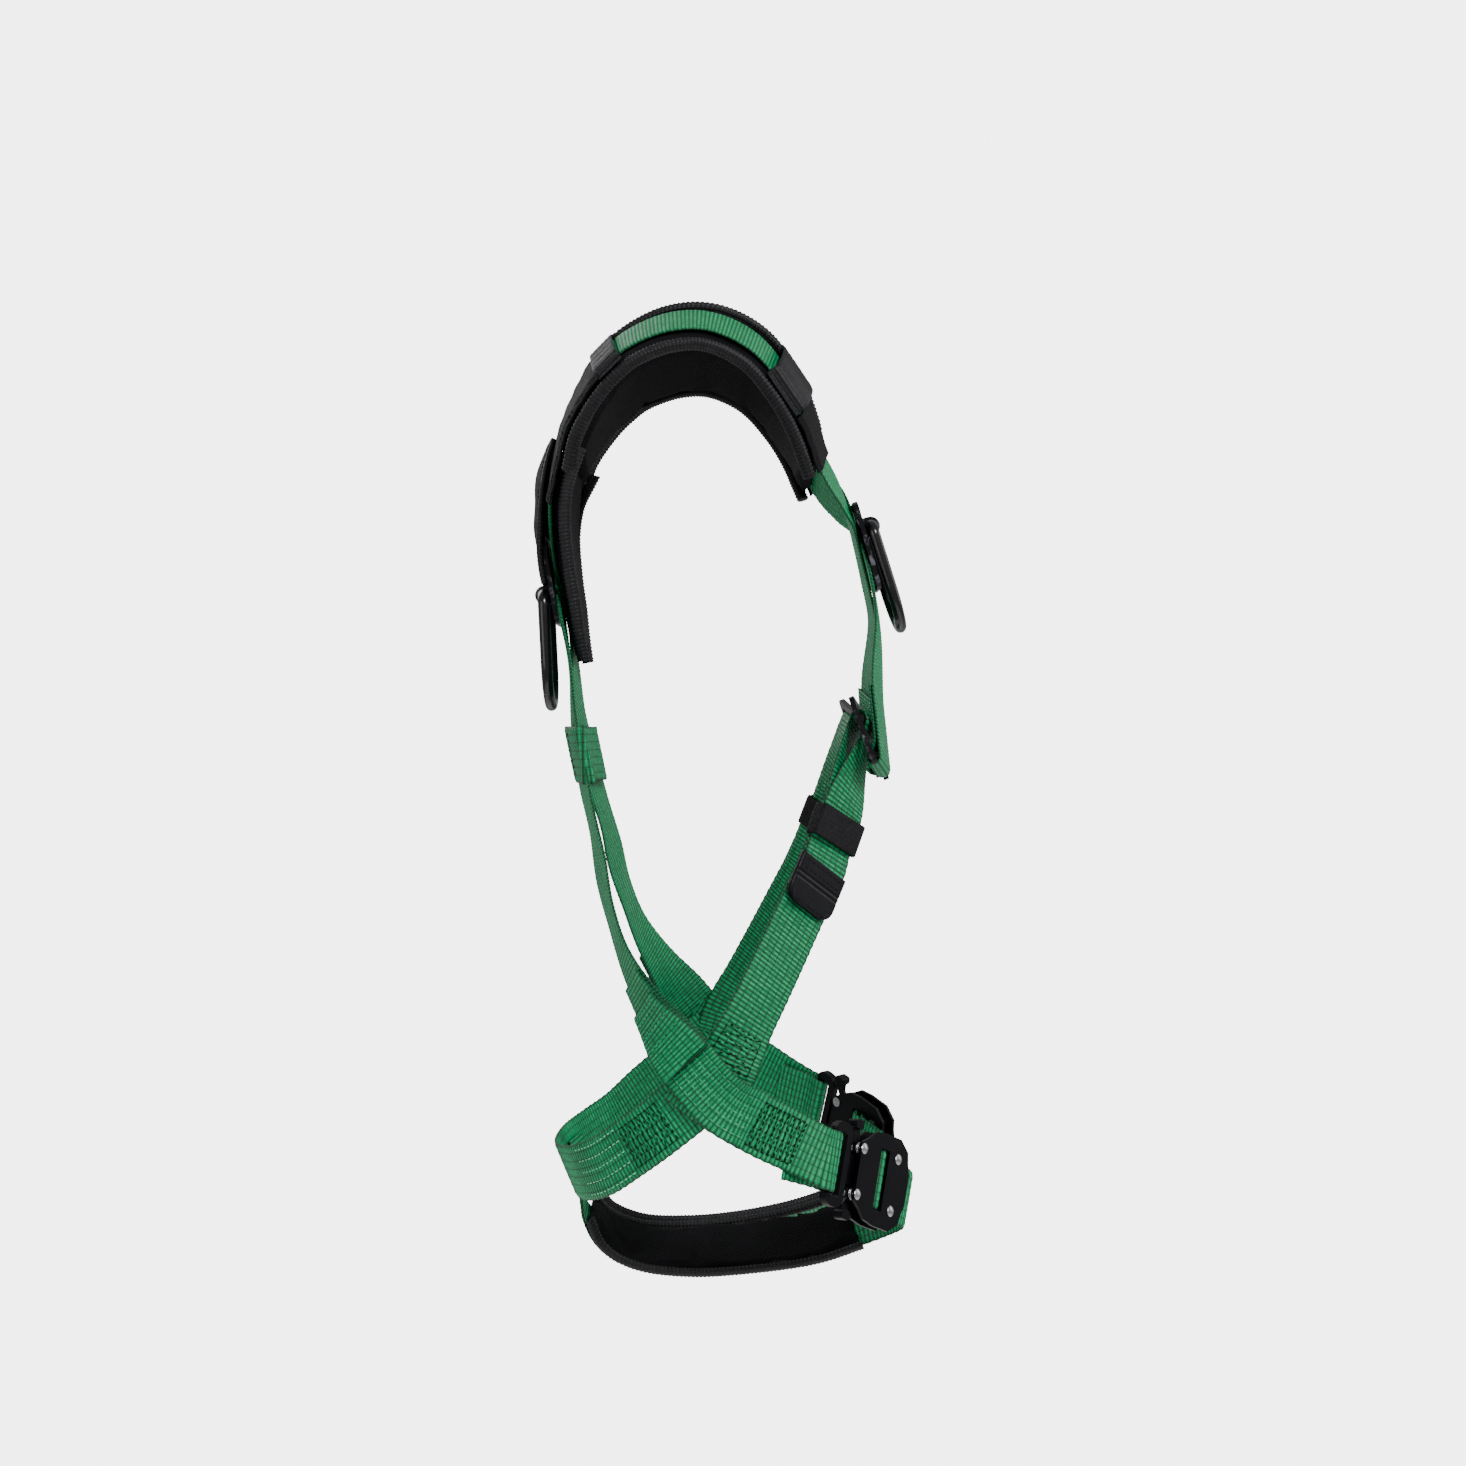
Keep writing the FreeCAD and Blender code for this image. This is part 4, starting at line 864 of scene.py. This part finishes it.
COVER = [(377, 137.2, 76, 2), (398, 141.0, 90, 3), (425, 143.8, 104, 6.5), (455, 143.2, 112, 9),
         (474, 140, 106, 9), (493, 131, 92, 5)]
cover_z = [z for z, y, width, bow in COVER]
widths = [width for z, y, width, bow in COVER]
bows = np.array([bow for z, y, width, bow in COVER])
cover_stations = [(0, y, z, 0, 1, 0) for z, y, width, bow in COVER]
cover_rows = Route(cover_stations, step=1.5, values=list(bows))
cover_widths = np.interp(cover_rows.p[:, 2], cover_z, widths)
ripple = 0.5 * np.sin(2 * np.pi * cover_rows.s / 37)
cover_rows.p = cover_rows.p + cover_rows.n * ripple[:, None]
cover = pad_mesh("dorsal_cover_shell", cover_rows, cover_widths - 3, 2.6, PADDING, closed=14)
register(cover, "yoke_padding", "dorsal_cover", fill=0.1)
cover_edge = Route(cover_stations, step=0.7, values=list(-bows))
cover_half = np.interp(cover_edge.p[:, 2], cover_z, widths) / 2 - 3.0
sewn = [(s, 5.0 - u) for s, u in zip(cover_edge.s[8:-8:8], cover_half[8:-8:8])]
sunk = Route([tuple(p + n * (bow * 0.8)) + tuple(n) for p, n, bow in
              zip(cover_edge.p[::20], cover_edge.n[::20], cover_edge.value[::20])], step=1.0)
for side, sign in SIDES:
    binding("cover_binding_" + side, cover_edge, -cover_half, 2.1, 3.4, sign)
    stitches("cover_rows_" + side, sunk, [sewn], THREAD_BLACK, "yoke_padding", mirror=sign, lift=1.5)

SLEEVES = {
    "rear_sleeve": SHOULDER_BACK[-1:] + SHOULDER_TOP[:3] + [(-85.9, 90.2, 540, -0.35, 0.63, 0.69)],
    "front_sleeve": [(-74.6, -67.2, 510.5, -0.34, -0.76, 0.56)] + SHOULDER_TOP[-2:],
}


def sleeve(name, stations, mirror):
    """Fabric drawn over the web, falling to the pad at both sides of it."""
    half, thick, seam = 31.5, 1.2, 25.5
    route = Route(lifted(stations, 2.2), step=1.5)
    across = np.linspace(-1, 1, 31)
    fall = 2.6 * np.clip((np.abs(across) - 0.72) / 0.24, 0, 1) ** 1.5
    pucker = 0.25 * np.sin(2 * np.pi * route.s[:, None] / 17 + 4 * across)
    top = route.grid(across * half, 1.1 - fall + pucker)
    low = top - route.n[:, None] * thick
    ring = np.concatenate([top, low[:, ::-1]], 1)
    thing = mesh_object(name + "_shell", ring.reshape(-1, 3), tube_faces(*ring.shape[:2]), PADDING,
                        mirror=mirror)
    register(thing, "yoke_padding", name)
    for u, edge in ((-seam, "out"), (seam, "in")):
        stitches(name + "_rows_" + edge, route, rows_of(2, route.s[-1] - 2, [u]), THREAD_BLACK,
                 "yoke_padding", mirror=mirror, lift=0.4)


for side, sign in SIDES:
    for name, stations in SLEEVES.items():
        sleeve(name + "_" + side, stations, sign)

# ---------------------------------------------------------------- keepers and tips


def band_over(name, mirror, at, half, height, length, thick, bulge, rib, lip):
    """Ribbed band that steps over a web, at one of its stations, and is sewn down either side of it."""
    before, middle, after = SHOULDER_TOP[at - 1:at + 2]
    along = np.asarray(after[:3], float) - np.asarray(before[:3], float)
    axes = Axes(lifted([middle], -THICK / 2 - 0.15)[0][:3], along, middle[3:])
    rest = thick / 2
    top = height + rest
    rise = [(-half - 6, rest, 0, 1), (-half - 2.2, rest, 0, 1), (-half + 0.2, height * 0.3, -0.75, 0.66),
            (-half + 1.6, height * 0.8, -0.8, 0.6), (-half + 5, top, -0.2, 1),
            (-half / 2, top + bulge * 0.8, -0.05, 1)]
    outline = [(x, max(z, rest + lip_height(lip, x)), nx, nz) for x, z, nx, nz in rise]
    outline += [(0, top + bulge, 0, 1)] + [(-x, z, -nx, nz) for x, z, nx, nz in rise[::-1]]
    route = Route([axes.station((x, 0, z), (nx, 0, nz)) for x, z, nx, nz in outline], step=0.5)
    ribbon(name, route, BLACK_TAPE, "black_webbing", width=length, thick=thick, mirror=mirror, rib=rib,
           relief=0.3, columns=6)
    end = route.s[-1]
    places = np.linspace(-length / 2 + 3, length / 2 - 3, max(4, int(length / 5)))
    feet = rows_of(1.5, 5.5, places) + rows_of(end - 5.5, end - 1.5, places)
    stitches(name + "_rows", route, feet, THREAD_BLACK, "black_webbing", mirror=mirror, lift=rest + 0.25)


def tail_loop(side, mirror):
    """Smooth elastic loop round the two layers of web."""
    middle = (np.asarray(HIP_TO_ADJUSTER[-2][:3]) + np.asarray(HIP_TO_ADJUSTER[-1][:3])) / 2
    axes = Axes(middle, (7.2, -10.2, 27.2), (-0.54, -0.78, 0.34))
    half, low, high = WEB / 2 + 1.8, -(THICK / 2 + 1.8), THICK / 2 + LAYER + 4.0
    corner, cut = 1.6, 0.4
    outline = [(0, low, 0, -1), (half - corner, low, 0, -1), (half - cut, low + cut, 0.7, -0.7),
               (half, low + corner, 1, 0), (half, high - corner, 1, 0), (half - cut, high - cut, 0.7, 0.7),
               (half - corner, high, 0, 1), (0, high, 0, 1)]
    outline += [(-x, z, -nx, nz) for x, z, nx, nz in outline[-2::-1]]
    route = Route([axes.station((x, 0, z), (nx, 0, nz)) for x, z, nx, nz in outline], step=0.5)
    ribbon("tail_keeper_" + side, route, ELASTIC, "black_webbing", body="keeper_" + side, width=25.0,
           thick=1.4, mirror=mirror, rib=ELASTIC_RIB, relief=0.07, columns=9)


def tip(name, mirror):
    """Moulded end of the tail: rounded corners, two grooves across and a raised rim."""
    length, half, radius, thick = 38.0, 24.5, 11.0, 2.8
    straight = -length + radius
    sides = 48
    ring = np.linspace(0, 2 * math.pi, sides, endpoint=False)
    round_end = straight - radius * np.sin(np.linspace(0, math.pi / 2, 26)[1:])
    ys = np.concatenate([[0], np.linspace(-0.6, straight, 60), round_end])
    points = []
    for y in ys:
        inside = max(0.0, straight - y)
        wide = half - radius + math.sqrt(max(radius ** 2 - inside ** 2, 0.5))
        groove = 0.55 * math.exp(-((y + 15.5) / 0.9) ** 2) + 0.45 * math.exp(-((y + 19.5) / 0.9) ** 2)
        edge = min(1.0, 0.5 + 0.5 * min(-y / 1.2 + 0.4, (y + length) / 2.5 + 0.2))
        for angle in ring:
            c, s = math.cos(angle), math.sin(angle)
            x = wide * math.copysign(abs(c) ** 0.28, c)
            z = thick * edge * math.copysign(abs(s) ** 0.4, s)
            if s > 0:
                z = z - groove + 0.35 * (abs(x) > wide - 3.2) - 0.3
            points.append(TIP.point(x, y, TIP_LIFT + z))
    thing = mesh_object(name + "_moulding", points, tube_faces(len(ys), sides), PLASTIC, mirror=mirror)
    register(thing, "strap_end", name)
    route = Route([TIP.station((0, y, TIP_LIFT + 2.5), (0, 0, 1)) for y in (0, -12, -24, -37)], step=1.0)
    rows = [[(s, -20), (s, 20)] for s in (4, 10.5)]
    stitches(name + "_rows", route, rows, THREAD_BLACK, "strap_end", mirror=mirror, lift=0.15)


for side, sign in SIDES:
    band_over("rear_keeper_" + side, sign, at=3, half=WEB / 2 + 5.5, height=THICK + 2.6, length=24.0,
              thick=1.6, bulge=0.6, rib=2.4, lip=3.0)
    band_over("front_keeper_" + side, sign, at=8, half=WEB / 2 + 6.0, height=THICK + 5.5, length=40.0,
              thick=1.8, bulge=1.6, rib=2.8, lip=8.5)
    tail_loop(side, sign)
    tip("strap_tip_" + side, sign)

# ---------------------------------------------------------------- folded indicator on each back web


def on_web(route, s, lift, facing):
    """Station over the middle of a web; facing is one of the route's own ways."""
    return tuple(route.at([s], [0], [lift])[0]) + tuple(facing[np.argmin(abs(route.s - s))])


for side, sign in SIDES:
    back = Route(back_web(sign < 0))
    places = np.linspace(back.nearest("z", 76), back.nearest("z", 18), 8)
    stations = [on_web(back, s, 2.9, back.n) for s in places]
    stations.append(on_web(back, places[-1] + 1.8, 4.4, back.t))
    stations += [on_web(back, s, 5.9, -back.n) for s in places[:1:-1]]
    fold = Route(stations)
    ribbon("indicator_fold_" + side, fold, GREEN, mirror=sign, width=WEB - 1, own=True)
    rows = [[(fold.s[-1] - k, -18), (fold.s[-1] - k, 18)] for k in (4, 9, 14, 19, 30, 35)]
    stitches("indicator_rows_" + side, fold, rows, THREAD_MID, mirror=sign, side=-1)

# ---------------------------------------------------------------- leg pads
leg_stations = lifted(LEG_LOOP[2:9], -(LEG_PAD_THICK / 2 + 0.2 + THICK / 2))
leg_rows = Route(leg_stations, step=3.0, values=[0.8] * len(leg_stations))
leg_widths = np.full(len(leg_rows.s), LEG_PAD_WIDTH)
leg_pad = pad_mesh("leg_pad_r_shell", leg_rows, leg_widths - 1, 5.4, LINING)
blown(leg_pad, 4.2, 4.0)
settle(leg_pad, leg_rows, leg_widths, LEG_PAD_THICK, 23, proud=1.2, quilt=0.35)
register(leg_pad, "leg_padding", "leg_pad_r", fill=0.5)
register(mirrored_copy(leg_pad, "leg_pad_l_shell"), "leg_padding", "leg_pad_l", fill=0.5)
leg_edge = Route(leg_stations, step=0.7, values=[-0.8] * len(leg_stations))
leg_half = np.full(len(leg_edge.s), LEG_PAD_WIDTH / 2 - 2)
for side, sign in SIDES:
    for edge, name in ((1, "inner"), (-1, "outer")):
        binding("leg_binding_" + name + "_" + side, leg_edge, edge * leg_half, 3.7, 2.8, sign,
                "leg_padding")

# ---------------------------------------------------------------- metal


def dress(node, material):
    """Gives a shown CAD node its finish."""
    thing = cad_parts[node]
    if not thing.material_slots:
        thing.data.materials.append(material)
    for slot in thing.material_slots:
        slot.material = material


dress("dorsal_ring", BLACK_METAL)
dress("sternal_ring", BLACK_METAL)
dress("dorsal_plate", edged("dorsal_plate_finish", tuple(DORSAL.outward), 0.28))
dress("sternal_plate", edged("sternal_plate_finish", tuple(STERNAL.outward), 0.28))
for side, sign in SIDES:
    outward = tuple(ADJUSTER.outward * (sign, 1, 1))
    dress("adjuster_frame_" + side, edged("adjuster_finish_" + side, outward, 0.3))
    dress("adjuster_slider_" + side, BLACK_METAL)
    for part in ("outer_plate", "inner_plate", "tongue", "upper_lever", "lower_lever", "web_bar"):
        dress("buckle_" + part + "_" + side, BUCKLE_METAL)
    for part in ("rivets", "springs"):
        dress("buckle_" + part + "_" + side, STEEL)

# ---------------------------------------------------------------- floor, light and camera
FLOOR_Z, FLOOR_RADIUS, FLOOR_SIDES = -1000, 1500, 96
floor_points = [(0, 0, FLOOR_Z)]
for i in range(FLOOR_SIDES):
    angle = 2 * math.pi * i / FLOOR_SIDES
    floor_points.append((FLOOR_RADIUS * math.cos(angle), FLOOR_RADIUS * math.sin(angle), FLOOR_Z))
floor_faces = [[0, 1 + i, 1 + (i + 1) % FLOOR_SIDES] for i in range(FLOOR_SIDES)]
look = Nodes("pale_floor")
tone = look.mix(look.noise(look.place(), 6, 3), srgb(244, 244, 243), srgb(250, 250, 250))
look.finish(tone, 0.75, Emission_Color=(1.0, 1.0, 1.0, 1.0), Emission_Strength=0.35)
mesh_object("floor", floor_points, floor_faces, look.material, smooth=False)


def area_light(name, place, target, size, power):
    """A soft square light that looks at a target; metres and watts."""
    data = bpy.data.lights.new(name, "AREA")
    data.shape = "SQUARE"
    data.size = size
    data.energy = power
    lamp = linked(bpy.data.objects.new(name, data))
    lamp.location = place
    back = unit(np.asarray(place, float) - np.asarray(target, float))
    lamp.rotation_euler = (math.acos(back[2]), 0, math.atan2(back[0], -back[1]))


area_light("key", (-2.0, -1.1, 1.9), (0, 0, 0.25), 0.7, 80)
area_light("fill", (-1.8, 1.7, 0.6), (0, 0, 0.2), 1.4, 16)
area_light("front", (0.2, -2.4, 1.0), (0, 0, 0.2), 1.6, 24)
area_light("back", (1.7, 1.6, 1.7), (0, 0, 0.3), 1.6, 30)

# The world is brighter where the camera sees it than as a light.
AMBIENT, BACKDROP = 0.5, 5.0
world = bpy.data.worlds.new("studio")
world.use_nodes = True
nodes, links = world.node_tree.nodes, world.node_tree.links
sky = nodes["Background"]
sky.inputs[0].default_value = (1.0, 1.0, 1.0, 1.0)
level = nodes.new("ShaderNodeMath")
level.operation = "MULTIPLY_ADD"
level.inputs[1].default_value = BACKDROP - AMBIENT
level.inputs[2].default_value = AMBIENT
links.new(nodes.new("ShaderNodeLightPath").outputs["Is Camera Ray"], level.inputs[0])
links.new(level.outputs[0], sky.inputs[1])
bpy.context.scene.world = world

CAMERA_PLACE = (-1.9, -0.0145, 0.259)  # metres, looking along +x
lens = bpy.data.cameras.new("camera")
lens.lens = 57.9
lens.sensor_width = 36
camera = linked(bpy.data.objects.new("camera", lens))
camera.location = CAMERA_PLACE
camera.rotation_euler = (math.pi / 2, 0, -math.pi / 2)
bpy.context.scene.camera = camera
